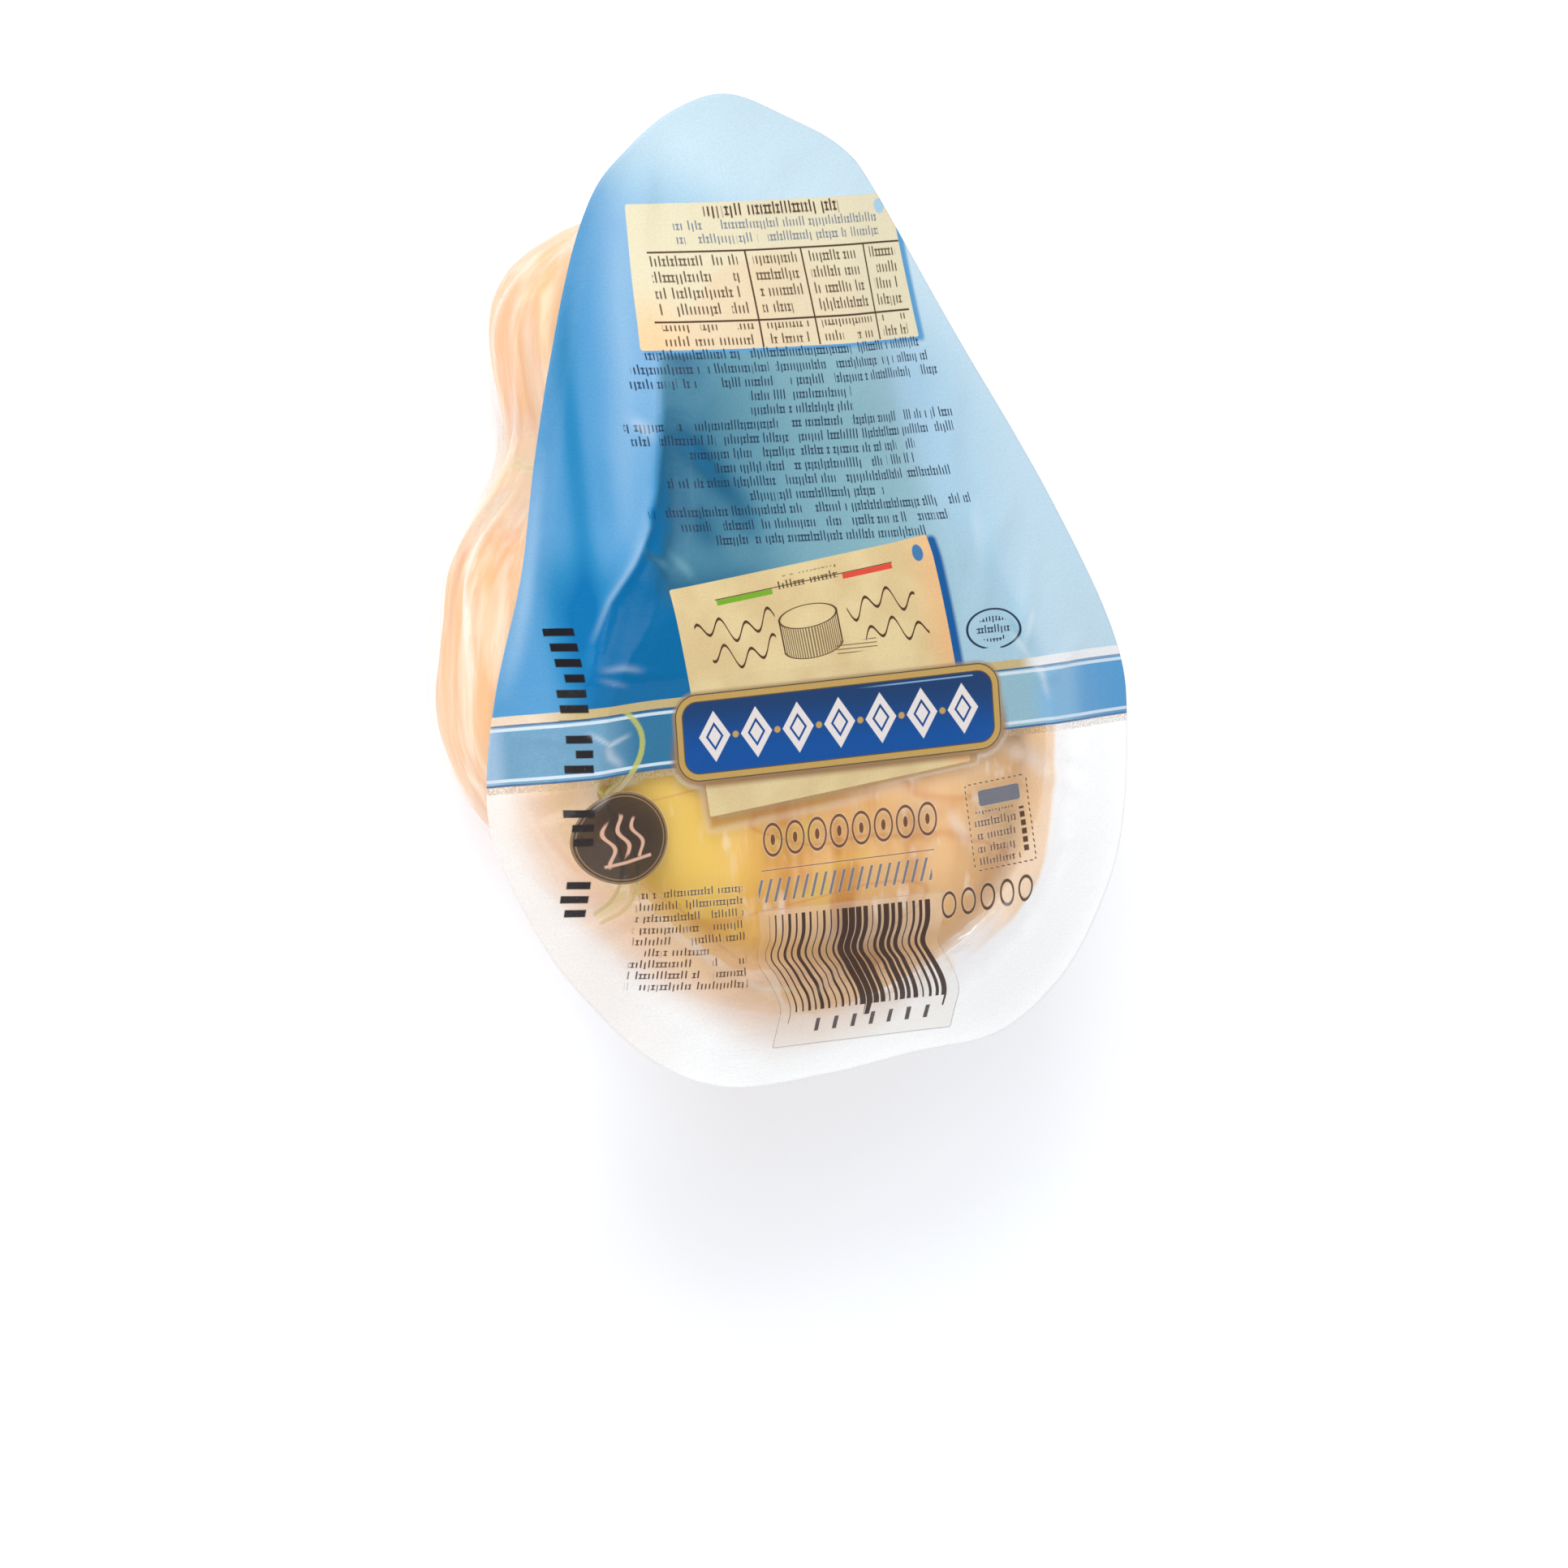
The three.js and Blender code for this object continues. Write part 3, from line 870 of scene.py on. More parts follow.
back_bearings = bearings_round(BACK_BEARINGS)
angles = np.linspace(np.pi / 2, -np.pi / 2 + POLE_GAP, PROFILE_ANGLES)
bearing_grid, angle_grid = np.meshgrid(back_bearings, angles, indexing="ij")
pouch_rays = np.stack([
    np.cos(angle_grid) * np.cos(bearing_grid),
    np.cos(angle_grid) * np.sin(bearing_grid),
    np.sin(angle_grid),
], axis=-1).reshape(-1, 3)
pouch_points = surface_along(pouch_rays, pouch_distance, POUCH_MIDDLE)
pouch_radius = np.linalg.norm(pouch_points - POUCH_MIDDLE, axis=1).reshape(BACK_BEARINGS, PROFILE_ANGLES)

back_rims = rim_distance(back_bearings, BACK_FILM_CENTRE)
shares = RIM_INSET - FLANGE_SHARE * np.linspace(0, 1, FLANGE_STEPS)
reach = back_rims[:, None] * shares[None, :]
flange_x, flange_y = round_centre(BACK_FILM_CENTRE, reach, back_bearings[:, None])
flange_z = film_surface(flange_x, flange_y) - SEAL_GAP

# In each direction the film follows the seal inwards, turns down to the cheese and follows it to the pole
profiles = np.zeros((BACK_BEARINGS, BACK_STEPS, 2))
for i in range(BACK_BEARINGS):
    above = flange_z[i] - POUCH_MIDDLE[2]
    angle = np.arctan2(above, reach[i])
    on_pouch = np.interp(-angle, -angles, pouch_radius[i])
    gap = np.hypot(reach[i], above) - on_pouch
    root = int(np.argmax(gap < ROOT_GAP))
    flange = np.column_stack([reach[i, :root + 1], flange_z[i, :root + 1]])
    below = angles < angle[root] - ROOT_TURN
    wall = np.column_stack([
        pouch_radius[i, below] * np.cos(angles[below]),
        POUCH_MIDDLE[2] + pouch_radius[i, below] * np.sin(angles[below]),
    ])
    line = np.vstack([flange, wall])
    lengths = lengths_along(line)
    even = np.linspace(0, lengths[-1], BACK_STEPS)
    profile = np.column_stack([np.interp(even, lengths, line[:, axis]) for axis in range(2)])
    smooth = profile.copy()
    for _ in range(ROOT_SMOOTHING):
        middle = (smooth[:-2] + smooth[2:]) / 2
        smooth[1:-1] += (middle - smooth[1:-1]) / 2
    rounded = np.clip((even - lengths[root] + ROOT_REACH) / ROOT_BLEND, 0, 1)[:, None]
    profile += rounded * (smooth - profile)
    height = profile[:, 1] - POUCH_MIDDLE[2]
    radius = np.hypot(profile[:, 0], height)
    angle = np.arctan2(height, profile[:, 0])
    least = np.interp(-angle, -angles, pouch_radius[i]) + FILM_GAP
    free = even > lengths[root]
    grown = np.where(free & (radius < least), least / np.maximum(radius, 1e-6), 1)
    profiles[i, :, 0] = profile[:, 0] * grown
    profiles[i, :, 1] = POUCH_MIDDLE[2] + height * grown

back_x, back_y = round_centre(BACK_FILM_CENTRE, profiles[:, :, 0], back_bearings[:, None])
back_z = np.maximum(profiles[:, :, 1], TABLE_Z)
back_points = np.stack([back_x, back_y, back_z], axis=-1).transpose(1, 0, 2).reshape(-1, 3)
pole = (*BACK_FILM_CENTRE, back_points[-BACK_BEARINGS:, 2].mean())
back_points = np.vstack([back_points, [pole]])
back_faces = grid_faces(BACK_STEPS, BACK_BEARINGS).tolist()
last_ring = (BACK_STEPS - 1) * BACK_BEARINGS + np.arange(BACK_BEARINGS)
back_faces += fan_faces(len(back_points) - 1, last_ring, True).tolist()
back_film = new_piece("back_film", back_points, back_faces, back_finish)


def keep_on(piece, name, values):
    """Keep a number for each point of the piece, under a name that its finish can ask for."""
    attribute = piece.data.attributes.new(name, "FLOAT", "POINT")
    attribute.data.foreach_set("value", values.astype(np.float32))


keep_on(back_film, "crease", on_crease(back_points) ** 2)
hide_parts("cheese_pouch")


# Printed front film
# A clear film with blue print over the head and the neck, a band across the belly, a plate and two paper
# labels. Below the band it is clear, and small print lies on it. It is satin, with folds beside the cheese.
FRONT_BEARINGS = 560
FRONT_RINGS = 150
FRONT_DROP = 0.05
LIP_DEPTH = 0.2
BLUE_ENDS_Y = 7.4
OPAQUE_FROM_Y = 9.5
CRISP = 0.05

# The blue from deep to pale, where the film is free and where it clings to the cheese
FREE_TONES = (0.02, 0.845)
FREE_BLUES = [
    paint(2, 112, 172), paint(45, 136, 188), paint(87, 155, 204),
    paint(130, 178, 217), paint(173, 208, 229), paint(215, 235, 246),
]
CLING_TONES = (0.0275, 0.665)
CLING_BLUES = [
    paint(0, 106, 162), paint(36, 99, 132), paint(72, 128, 154),
    paint(105, 155, 173), paint(138, 179, 191), paint(170, 203, 220),
]
INK_BROWN = paint(82, 56, 40)
INK_SLATE = paint(96, 112, 138)
INK_NAVY = paint(34, 52, 78)
SHADOW_BROWN = paint(190, 160, 118)


class Print(Finish):
    """A printed film: inks laid one over another, each with a colour and how well it covers."""

    def __init__(self, name):
        super().__init__(name)
        self.place = self.stored("print_place", 1)
        self.x, self.y, _ = self.place.parts()
        self.cling = self.stored("cling")
        self.tone = self.stored("tone")
        self.shine = self.stored("shine")
        self.screen = self.mottle(self.place, 0.28, 1.0)
        self.cloudy = self.mottle(self.place, 7, 2.0)
        self.colour = None
        self.cover = None

    def lay(self, mask, colour, cover=0.97):
        """Lay an ink over those below it."""
        self.colour = self.mix(mask, self.colour, colour)
        if self.cover is not None:
            self.cover = self.cover + mask * (cover - self.cover)

    def turned(self, centre, angle):
        """The print's place seen from a centre and turned by an angle."""
        c = math.cos(math.radians(angle))
        s = math.sin(math.radians(angle))
        off_x = self.x - centre[0]
        off_y = self.y - centre[1]
        return off_x * c + off_y * s, off_y * c - off_x * s

    def blue_field(self):
        """The blue by its tone, greener where the film clings to the cheese."""
        free = self.ramp(self.tone, *FREE_TONES, FREE_BLUES)
        return self.mix(self.cling, free, self.ramp(self.tone, *CLING_TONES, CLING_BLUES))

    def strokes(self, across, up, line_pitch, stroke_pitch, word_size, seed, fill=0.4):
        """Rows of small upright strokes in clumps, as dense as lines of small print."""
        row_place = up / line_pitch + seed
        row = row_place.sum("FLOOR")
        column_place = across / stroke_pitch + row * 0.37
        column = column_place.sum("FLOOR")
        cell = self.node("CombineXYZ", {}, {0: column, 1: row})
        draw = self.node("TexWhiteNoise", {"noise_dimensions": "2D"}, {"Vector": cell})
        clump = self.node("CombineXYZ", {}, {0: across / word_size, 1: row * 3.7 + seed})
        clump_noise = {"Vector": clump, "Scale": 1.0, "Detail": 0.0}
        words = self.node("TexNoise", {"noise_dimensions": "2D"}, clump_noise)
        in_row = row_place - row
        # Some strokes reach above the rest, some hang below it, and some are joined in the middle
        top = 0.68 + draw.rise(0.72, 0.74) * 0.2
        bottom = 0.18 - draw.rise(0.2, 0.18) * 0.12
        upright = (in_row - bottom).rise(-0.06, 0.06) * (in_row - top).rise(0.06, -0.06)
        off_middle = abs(column_place - column - 0.5)
        stem = off_middle.rise(fill * 0.5 + 0.08, fill * 0.5 - 0.08) * draw.rise(0.08, 0.1)
        joins = within(abs(in_row - 0.42), 0.13, 0.23, 0.04) * within(draw, 0.34, 0.6, 0.01)
        return upright * stem.most(joins) * words.rise(0.29, 0.31)


def within(value, low, high, soft=CRISP):
    """1 from low to high and 0 outside."""
    middle = (low + high) / 2
    half = (high - low) / 2
    return abs(value - middle if middle else value).rise(half + soft, half - soft)


def box_mask(across, up, left, right, bottom, top, soft=CRISP):
    """1 inside a box and 0 outside."""
    return within(across, left, right, soft) * within(up, bottom, top, soft)


def round_distance(across, up, half_width, half_height, corner):
    """Distance to a box with round corners, which is minus the corner's radius at most inside it."""
    over_x = (abs(across) - (half_width - corner)).most(0)
    over_y = (abs(up) - (half_height - corner)).most(0)
    return (over_x * over_x + over_y * over_y).sum("SQRT") - corner


def oval_share(across, up, half_width, half_height):
    """Share of the way from the middle to an oval, 1 on the oval."""
    off_x = across / half_width
    off_y = up / half_height
    return (off_x * off_x + off_y * off_y).sum("SQRT")


def repeated(value, pitch):
    """The offset from the middle of the nearest of the cells that repeat along a value."""
    cells = value / pitch
    return (cells - cells.sum("FLOOR") - 0.5) * pitch


# Paper tag behind the plate, with two short bars, a wheel of cheese and a few pen curls
TAG_CENTRE = (-1.7, 8.0)
TAG_TURN = 6
TAG_HALF = (18.1, 14.7)
TAG_CREAM = paint(230, 208, 158)
TAG_TAN = paint(216, 188, 138)
TAG_ORANGE = paint(238, 184, 130)
TAG_SHADOW = paint(24, 92, 156)
TAG_HOLE = paint(70, 124, 176)
TAG_SHADOW_GOLD = paint(186, 126, 50)
BAR_GREEN = paint(122, 174, 48)
BAR_RED = paint(226, 80, 62)


def print_tag(film):
    tag_x, tag_y = film.turned(TAG_CENTRE, TAG_TURN)
    below_plate = film.y.rise(-2.6, -3.4)
    # Painted shadows of the tag: blue on the print beside it, and gold and brown on the cheese below the
    # plate
    shadow = round_distance(tag_x - 1.0, tag_y + 0.4, *TAG_HALF, 0.5).rise(0.5, -0.2)
    film.lay(shadow * film.y.rise(BLUE_ENDS_Y - CRISP, BLUE_ENDS_Y + CRISP), TAG_SHADOW)
    under = round_distance(tag_x + 1.0, tag_y + 1.6, 17.4, 14.7, 0.5).rise(1.2, -0.8)
    film.lay(under * film.x.rise(12, -2) * below_plate, TAG_SHADOW_GOLD, 0.5)
    film.lay(shadow * below_plate, SHADOW_BROWN, 0.55)
    tag = round_distance(tag_x, tag_y, *TAG_HALF, 0.3).rise(CRISP, -CRISP)
    paper = film.mix(film.cloudy.rise(0.35, 0.65) * 0.7, TAG_CREAM, TAG_TAN)
    paper = film.mix(tag_x.rise(13, 18.6) * 0.8, paper, TAG_ORANGE)
    film.lay(tag, paper)
    film.lay(oval_share(tag_x - 16.1, tag_y - 12.8, 0.75, 1.05).rise(1.1, 0.9), TAG_HOLE)
    film.lay(box_mask(tag_x, tag_y, -12.3, -4.6, 11.6, 12.3), BAR_GREEN)
    film.lay(box_mask(tag_x, tag_y, 5.2, 12.2, 11.6, 12.3), BAR_RED)

    # Pen lines: a rule along the bars, the wheel with its hatched side and the ground by it, and the curls
    pen = within(tag_y, 12.3, 12.42) * within(tag_x, -12.5, 12.3)
    wheel_x = tag_x + 0.6
    top = oval_share(wheel_x, tag_y - 8.0, 4.0, 1.45)
    foot = oval_share(wheel_x, tag_y - 4.1, 4.0, 1.45)
    side = foot.rise(1.02, 0.98).most(box_mask(wheel_x, tag_y, -4.0, 4.0, 4.1, 8.0))
    side = side * top.rise(1.0, 1.04)
    hatch = abs(repeated(wheel_x + wheel_x * abs(wheel_x) * 0.11, 0.45)).rise(0.16, 0.1)
    edge = within(foot, 0.96, 1.03, 0.03) * tag_y.rise(4.2, 4.0)
    edge = edge.most(within(abs(wheel_x), 3.88, 4.08) * within(tag_y, 4.1, 8.0))
    pen = pen.most(within(top, 0.95, 1.03, 0.03)).most(edge).most(side * hatch * 0.75)
    ground = within(abs(repeated(tag_y + tag_x * 0.1, 0.5)), 0, 0.06, 0.04)
    ground = ground * box_mask(tag_x, tag_y, 2.4, 8, 2.2, 3.6)
    wave = (tag_x * 1.9).sum("SINE") * 1.1 + (tag_x * 0.8).sum("SINE") * 0.7
    for low, left, right in ((8.0, -16.0, -5.0), (4.6, -14.4, -5.4), (8.2, 4.8, 14.4), (4.4, 6.6, 15.4)):
        curl = within(tag_y - low - wave + tag_x * 0.04, -0.2, 0.2, 0.08)
        pen = pen.most(curl * within(tag_x, left, right))
    film.lay(pen.most(ground) * tag, INK_BROWN)
    top_line = film.strokes(tag_x, tag_y, 1.6, 0.55, 9, 0.75)
    film.lay(top_line * box_mask(tag_x, tag_y, -4.0, 4.6, 12.0, 13.6) * 0.9, INK_BROWN)


# Column of stamped strokes up the left of the pack
STAMP_BLACK = paint(26, 24, 32)
STAMP_X = -34.6
STAMP_PITCH = 1.9
STAMP_GROUPS = [(-2.0, 3.8), (-11.4, -5.7), (-20.9, -15.2)]


def print_stamp(film):
    """Short bars across the column, each with its own length and shift, in four groups."""
    stamp_x = film.x - STAMP_X - (film.y + 1) * 0.02
    place = film.y / STAMP_PITCH
    row = place.sum("FLOOR")
    draw = film.chance(row + 3.5)
    bar = abs(place - row - 0.5).rise(0.32, 0.22)
    bar = bar * (0.85 + draw * 0.85 - abs(stamp_x + draw * 0.9 - 0.45)).rise(-0.08, 0.08)
    worn = film.screen.rise(0.16, 0.26)
    groups = within(film.y, 5.2, 16.6)
    for low, high in STAMP_GROUPS:
        groups = groups.most(within(film.y, low, high))
    film.lay(bar * worn * groups, STAMP_BLACK)


# Upper part, where blue ink covers the film: a label with a ruled table, lines of small print, an oval mark
LABEL_CREAM = paint(233, 223, 191)
LABEL_WARM = paint(236, 214, 180)
LABEL_ORANGE = paint(243, 207, 160)
LABEL_SHADOW = paint(96, 160, 208)
LABEL_CENTRE = (1.2, 58.6)
LABEL_TURN = -2.6
LABEL_HALF_HEIGHT = 9.1
CELL_RULES_X = [-4.4, 3.6, 13.2]
LINE_PITCH = 1.79
LINES_FOOT = 24.8
# Half the length of each line of small print, from the lowest up
LINE_HALVES = [14.5, 18.5, 22.5, 9.5, 20.5, 15.5, 16, 22.5, 23, 7, 7, 22, 21, 20]
LONGEST_HALF = 30
OVAL_CENTRE = (22.2, 11.9)

upper = Print("printed blue film")
upper.colour = upper.blue_field()
x, y = upper.x, upper.y

# The label: a header, two lines of notes, and entries in the cells of a table
label_x, label_y = upper.turned(LABEL_CENTRE, LABEL_TURN)
label_half = 19.2 - label_y * 0.07
label_shadow = round_distance(label_x - 0.7, label_y + 0.35, label_half, LABEL_HALF_HEIGHT, 0.4)
upper.lay(label_shadow.rise(0.5, -0.2), LABEL_SHADOW)
label = round_distance(label_x, label_y, label_half, LABEL_HALF_HEIGHT, 0.3).rise(CRISP, -CRISP)
label_paper = upper.mix(upper.cling * (1 - x.rise(-6, 12) * 0.6), LABEL_CREAM, LABEL_WARM)
label_paper = upper.mix(x.rise(-10, -17) * y.rise(60, 51), label_paper, LABEL_ORANGE)
upper.lay(label, label_paper)
upper.lay(oval_share(x - 18.2, y - 65.4, 0.75, 0.95).rise(1.1, 0.9), FREE_BLUES[4])
table = box_mask(label_x, label_y, -16.9, 19, 2.9, 3.14, 0.06)
table = table.most(box_mask(label_x, label_y, -17.6, 19, -5.75, -5.5, 0.06))
in_cells = within(label_y, -5.2, 2.6, 0.1).most(within(label_y, -8.6, -6.0, 0.1))
for rule_x in CELL_RULES_X:
    rule = abs(label_x - rule_x)
    table = table.most(rule.rise(0.18, 0.06) * within(label_y, -9.0, 3.0))
    in_cells = in_cells * rule.rise(0.8, 0.9)
upper.lay(table * label, INK_BROWN)
header = upper.strokes(label_x, label_y, 2.5, 0.6, 9, 0.24)
upper.lay(header * box_mask(label_x, label_y, -8.8, 10.4, 7.0, 8.9, 0.1), INK_BROWN)
notes = upper.strokes(label_x, label_y, 1.7, 0.48, 3.2, 0.82)
upper.lay(notes * box_mask(label_x, label_y, -13, 16, 3.7, 7.1, 0.1) * 0.85, INK_SLATE)
entries = upper.strokes(label_x, label_y, 2.0, 0.52, 3.4, 0.55) * within(label_x, -16.8, 18.2, 0.1)
upper.lay(entries * in_cells * 0.92, INK_BROWN)

# Lines of small print, each centred with its own length
line_place = y + 0.045 * x - LINES_FOOT
row_share = (line_place / LINE_PITCH).sum("FLOOR") / len(LINE_HALVES) + 0.5 / len(LINE_HALVES)
row_half = upper.steps(row_share, [half / LONGEST_HALF for half in LINE_HALVES]) * LONGEST_HALF
row_ends = (row_half - abs(x - 0.4)).rise(-0.1, 0.1) * within(row_share, 0, 1, 0.001)
small_print = upper.strokes(x, line_place, LINE_PITCH, 0.44, 2.6, 0.0) * row_ends
upper.lay(small_print * 0.95, INK_NAVY)

# Oval mark with strokes in it
oval_x, oval_y = x - OVAL_CENTRE[0], y - OVAL_CENTRE[1]
oval = oval_share(oval_x, oval_y, 3.75, 2.6)
upper.lay(within(oval, 0.93, 1.02, 0.02), INK_NAVY)
upper.lay(upper.strokes(oval_x, oval_y, 1.45, 0.45, 9, 0.5) * oval.rise(0.66, 0.62), INK_NAVY)
print_tag(upper)
print_stamp(upper)

# Lower part, where the film is clear between its inks
CLEAR_FILM = (0.94, 0.935, 0.93, 1.0)
CLEAR_LEFT = (0.79, 0.745, 0.71, 1.0)
# Painted light: the cheese's colour glowing in the film beside it, more orange at the right
GLOW_PEACH = paint(240, 197, 162)
GLOW_ORANGE = paint(252, 210, 164)
BAND_TOP_Y = 6.3
BAND_BOTTOM_Y = -1.5
GAP_GOLD = paint(206, 184, 132)
GAP_WHITE = paint(240, 242, 244)
GAP_CREAM = paint(240, 218, 194)
BAND_BLUE = paint(86, 160, 214)
BAND_MIST = paint(113, 161, 192)
BAND_MILKY = paint(158, 190, 218)
BAND_DARK_TEAL = paint(48, 118, 158)
BAND_PALE = paint(148, 187, 202)
BAND_SKY = paint(134, 186, 223)
STRING_SEEN = paint(204, 206, 96)
BAND_DARK = paint(50, 100, 150)
LINE_WHITE = paint(214, 230, 242)

lower = Print("printed clear film")
glow = lower.stored("glow")
x, y = lower.x, lower.y
# The band rises a little to the right and hangs down where the film slopes to its rim
band_y = y - x * 0.012 + x.rise(-24, -48) * 1.3 + x.rise(28, 46)
wisps = lower.mottle(lower.squeezed(lower.place, (1, 0.4, 1)), 3.4, 3.0).rise(0.57, 0.72)
clear = lower.mix(x.rise(-16, -32), CLEAR_FILM, CLEAR_LEFT)
# Painted light: beside the cheese the film glows in the cheese's colour
lower.colour = lower.mix(glow, clear, lower.mix(x.rise(2, 12), GLOW_PEACH, GLOW_ORANGE))
lower.cover = lower.stored("milk").most(wisps * 0.3)
lower.lay(band_y.rise(BLUE_ENDS_Y - CRISP, BLUE_ENDS_Y + CRISP), lower.blue_field(), 1.0)

# Band across the belly, between white lines, with a stripe of gold above it
gap = within(band_y, BAND_TOP_Y, BLUE_ENDS_Y, 0.02)
gap_paint = lower.mix(x.rise(-34, -39), lower.mix(x.rise(25, 28), GAP_GOLD, GAP_WHITE), GAP_CREAM)
lower.lay(gap, gap_paint, 0.9)
band = within(band_y, BAND_BOTTOM_Y, BAND_TOP_Y)
band_end = lower.mix(x.rise(-43.8, -41.6), BAND_MILKY, BAND_MIST)
left_band = lower.mix(x.rise(-33, -26.5), band_end, BAND_DARK_TEAL)
right_band = lower.mix(x.rise(26, 29.5), BAND_PALE, lower.mix(x.rise(32, 37), BAND_SKY, BAND_BLUE))
band_paint = lower.mix(x.rise(-2, 2), left_band, right_band)
lower.lay(band, band_paint, 0.99)
lower.lay(within(band_y, BAND_BOTTOM_Y, BAND_BOTTOM_Y + 0.28), BAND_DARK, 0.9)
lower.lay(within(band_y, BAND_TOP_Y - 0.2, BAND_TOP_Y), BAND_DARK, 0.75)
for line_y in (BAND_TOP_Y - 0.58, BAND_BOTTOM_Y + 0.78):
    lower.lay(within(band_y, line_y - 0.2, line_y + 0.2), LINE_WHITE, 0.95)
below_band = within(band_y, BAND_BOTTOM_Y - 0.9, BAND_BOTTOM_Y, 0.02) * lower.screen.rise(0.35, 0.55)
lower.lay(below_band * 0.6, SHADOW_BROWN, 0.5)
string_seen = lower.stored("on_string").rise(0.3, 0.95) * (0.4 + 0.4 * band)
lower.lay(string_seen * (BAND_TOP_Y + 0.4 - band_y).rise(0, 0.4), STRING_SEEN, 0.9)
print_tag(lower)

# Blue plate with a gold edge and a row of lozenges with dots between them
PLATE_CENTRE = (0.1, 1.95)
PLATE_TURN = 0.6
PLATE_HALF = (22.3, 5.6)
PLATE_CORNER = 3.0
PLATE_NAVY = paint(22, 60, 108)
PLATE_BLUE = paint(0, 80, 158)
PLATE_GOLD = paint(196, 160, 92)
PLATE_EDGE = paint(94, 78, 60)
PLATE_LIGHT = paint(140, 176, 214)
PLATE_SHADE = paint(150, 108, 72)
LOZENGE_WHITE = paint(234, 226, 224)
LOZENGE_PITCH = 5.7
plate_x, plate_y = lower.turned(PLATE_CENTRE, PLATE_TURN)
plate_distance = round_distance(plate_x, plate_y, *PLATE_HALF, PLATE_CORNER)
lower.lay(plate_distance.rise(1.3, 0.1) * plate_y.rise(2, -4), PLATE_SHADE, 0.8)
lower.lay(plate_distance.rise(0.6, -0.02) * 0.7, SHADOW_BROWN, 0.6)
plate_field = lower.mix((plate_y + plate_x * 0.04).rise(-3.0, 4.2), PLATE_BLUE, PLATE_NAVY)
for inset, colour in ((0, PLATE_EDGE), (0.16, PLATE_GOLD), (0.92, PLATE_EDGE), (1.06, plate_field)):
    lower.lay(plate_distance.rise(CRISP - inset, -CRISP - inset), colour, 0.98)
glint = within(plate_y, 4.02, 4.2, 0.06) * plate_x.rise(2, 9) * plate_x.rise(18.9, 18.6)
lower.lay(glint, PLATE_LIGHT, 0.98)
lozenge_x = repeated(plate_x + LOZENGE_PITCH / 2, LOZENGE_PITCH)
lozenge = abs(lozenge_x) / 2.15 + abs(plate_y) / 3.3
lozenges = lozenge.rise(1.02, 0.97) * (1 - within(lozenge, 0.4, 0.56, 0.02))
lower.lay(lozenges * within(plate_x, -20, 20), LOZENGE_WHITE, 0.98)
dots = oval_share(abs(lozenge_x) - LOZENGE_PITCH / 2, plate_y, 0.42, 0.42).rise(1.2, 0.8)
lower.lay(dots * within(plate_x, -18, 18), PLATE_GOLD, 0.98)

# Round seal with three curls of smoke, at the left
SEAL_CENTRE = (-30.0, -10.1)
SEAL_TURN = 12
SEAL_RADIUS = 6.0
SEAL_BLACK = paint(58, 46, 46)
SEAL_GOLD = paint(150, 120, 88)
SEAL_PINK = paint(226, 180, 156)
seal_x, seal_y = lower.turned(SEAL_CENTRE, SEAL_TURN)
seal = oval_share(seal_x, seal_y, SEAL_RADIUS, SEAL_RADIUS)
lower.lay(seal.rise(1.01, 0.985), SEAL_BLACK, 0.9)
lower.lay(within(seal, 0.955, 0.985, 0.008).most(within(seal, 0.89, 0.915, 0.008)), SEAL_GOLD, 0.95)
smoke = seal_x + (seal_y * 1.5).sum("SINE") * 0.5
curls = within(smoke, -0.28, 0.28, 0.1).most(within(abs(smoke) - 1.9, -0.24, 0.24, 0.1))
curls = curls * within(seal_y + abs(seal_x) * 0.5, -2.2, 3.2, 0.3)
lower.lay(curls.most(box_mask(seal_x, seal_y, -3.0, 3.0, -3.3, -2.9, 0.1)), SEAL_PINK, 0.95)

# A garland, a rule and a row of slanted strokes below the plate
GARLAND_BROWN = paint(104, 62, 40)
STROKE_SLATE = paint(104, 114, 130)
RING_PITCH = 3.05
ring_x = repeated(x - 0.8, RING_PITCH)
ring_y = y + 11.9 - (x - 0.8) * 0.03
garland = within(oval_share(ring_x, ring_y, 1.3, 2.15), 0.82, 1.04)
garland = garland.most(oval_share(ring_x, ring_y, 0.34, 0.8).rise(1.1, 0.8)) * within(x, -11.4, 13.0)
lower.lay(garland, GARLAND_BROWN, 0.92)
lower.lay(box_mask(x, y - (x - 0.3) * 0.02, -11.6, 12.2, -15.95, -15.8), GARLAND_BROWN, 0.9)
slant_x = x - (y + 18.2) * 0.3
slanted = abs(repeated(slant_x, 1.25)).rise(0.26, 0.14) * abs(repeated(slant_x, 7.5)).rise(3.4, 3.3)
lower.lay(slanted * box_mask(x, y - x * 0.03, -12.2, 11.8, -19.9, -16.9), STROKE_SLATE, 0.9)

# Bars of the bar code, in a thin outline with a pale ground
PANEL_CREAM = paint(250, 232, 204)
CODE_BROWN = paint(66, 46, 38)
panel_edge = round_distance(x - 0.4, y + 30.6, 12.7, 9.4, 0.3)
lower.lay(panel_edge.rise(0.1, -0.1) * 0.28, PANEL_CREAM, 0.45)
lower.lay(within(panel_edge, -0.1, 0.03) * 0.6, INK_BROWN, 0.5)
code_place = x * 1.05
code_bar = code_place.sum("FLOOR")
bar_draw = lower.chance(code_bar + 0.5)
bars = (0.1 + bar_draw * bar_draw * 0.38 - abs(code_place - code_bar - 0.5)).rise(-0.05, 0.05)
guard = abs(abs(x - 0.3) - 5.6).rise(5.1, 5.2)
bars = bars * within(x, -10.9, 11.4) * (y + 35.2 + guard * 1.5).rise(-0.05, 0.05) * y.rise(-21.9, -22.0)
lower.lay(bars, CODE_BROWN, 0.97)
foot_dots = abs(repeated(x, 2.6)).rise(0.35, 0.25) * box_mask(x, y, -8.8, 9.6, -38.2, -36.4)
lower.lay(foot_dots, CODE_BROWN, 0.9)

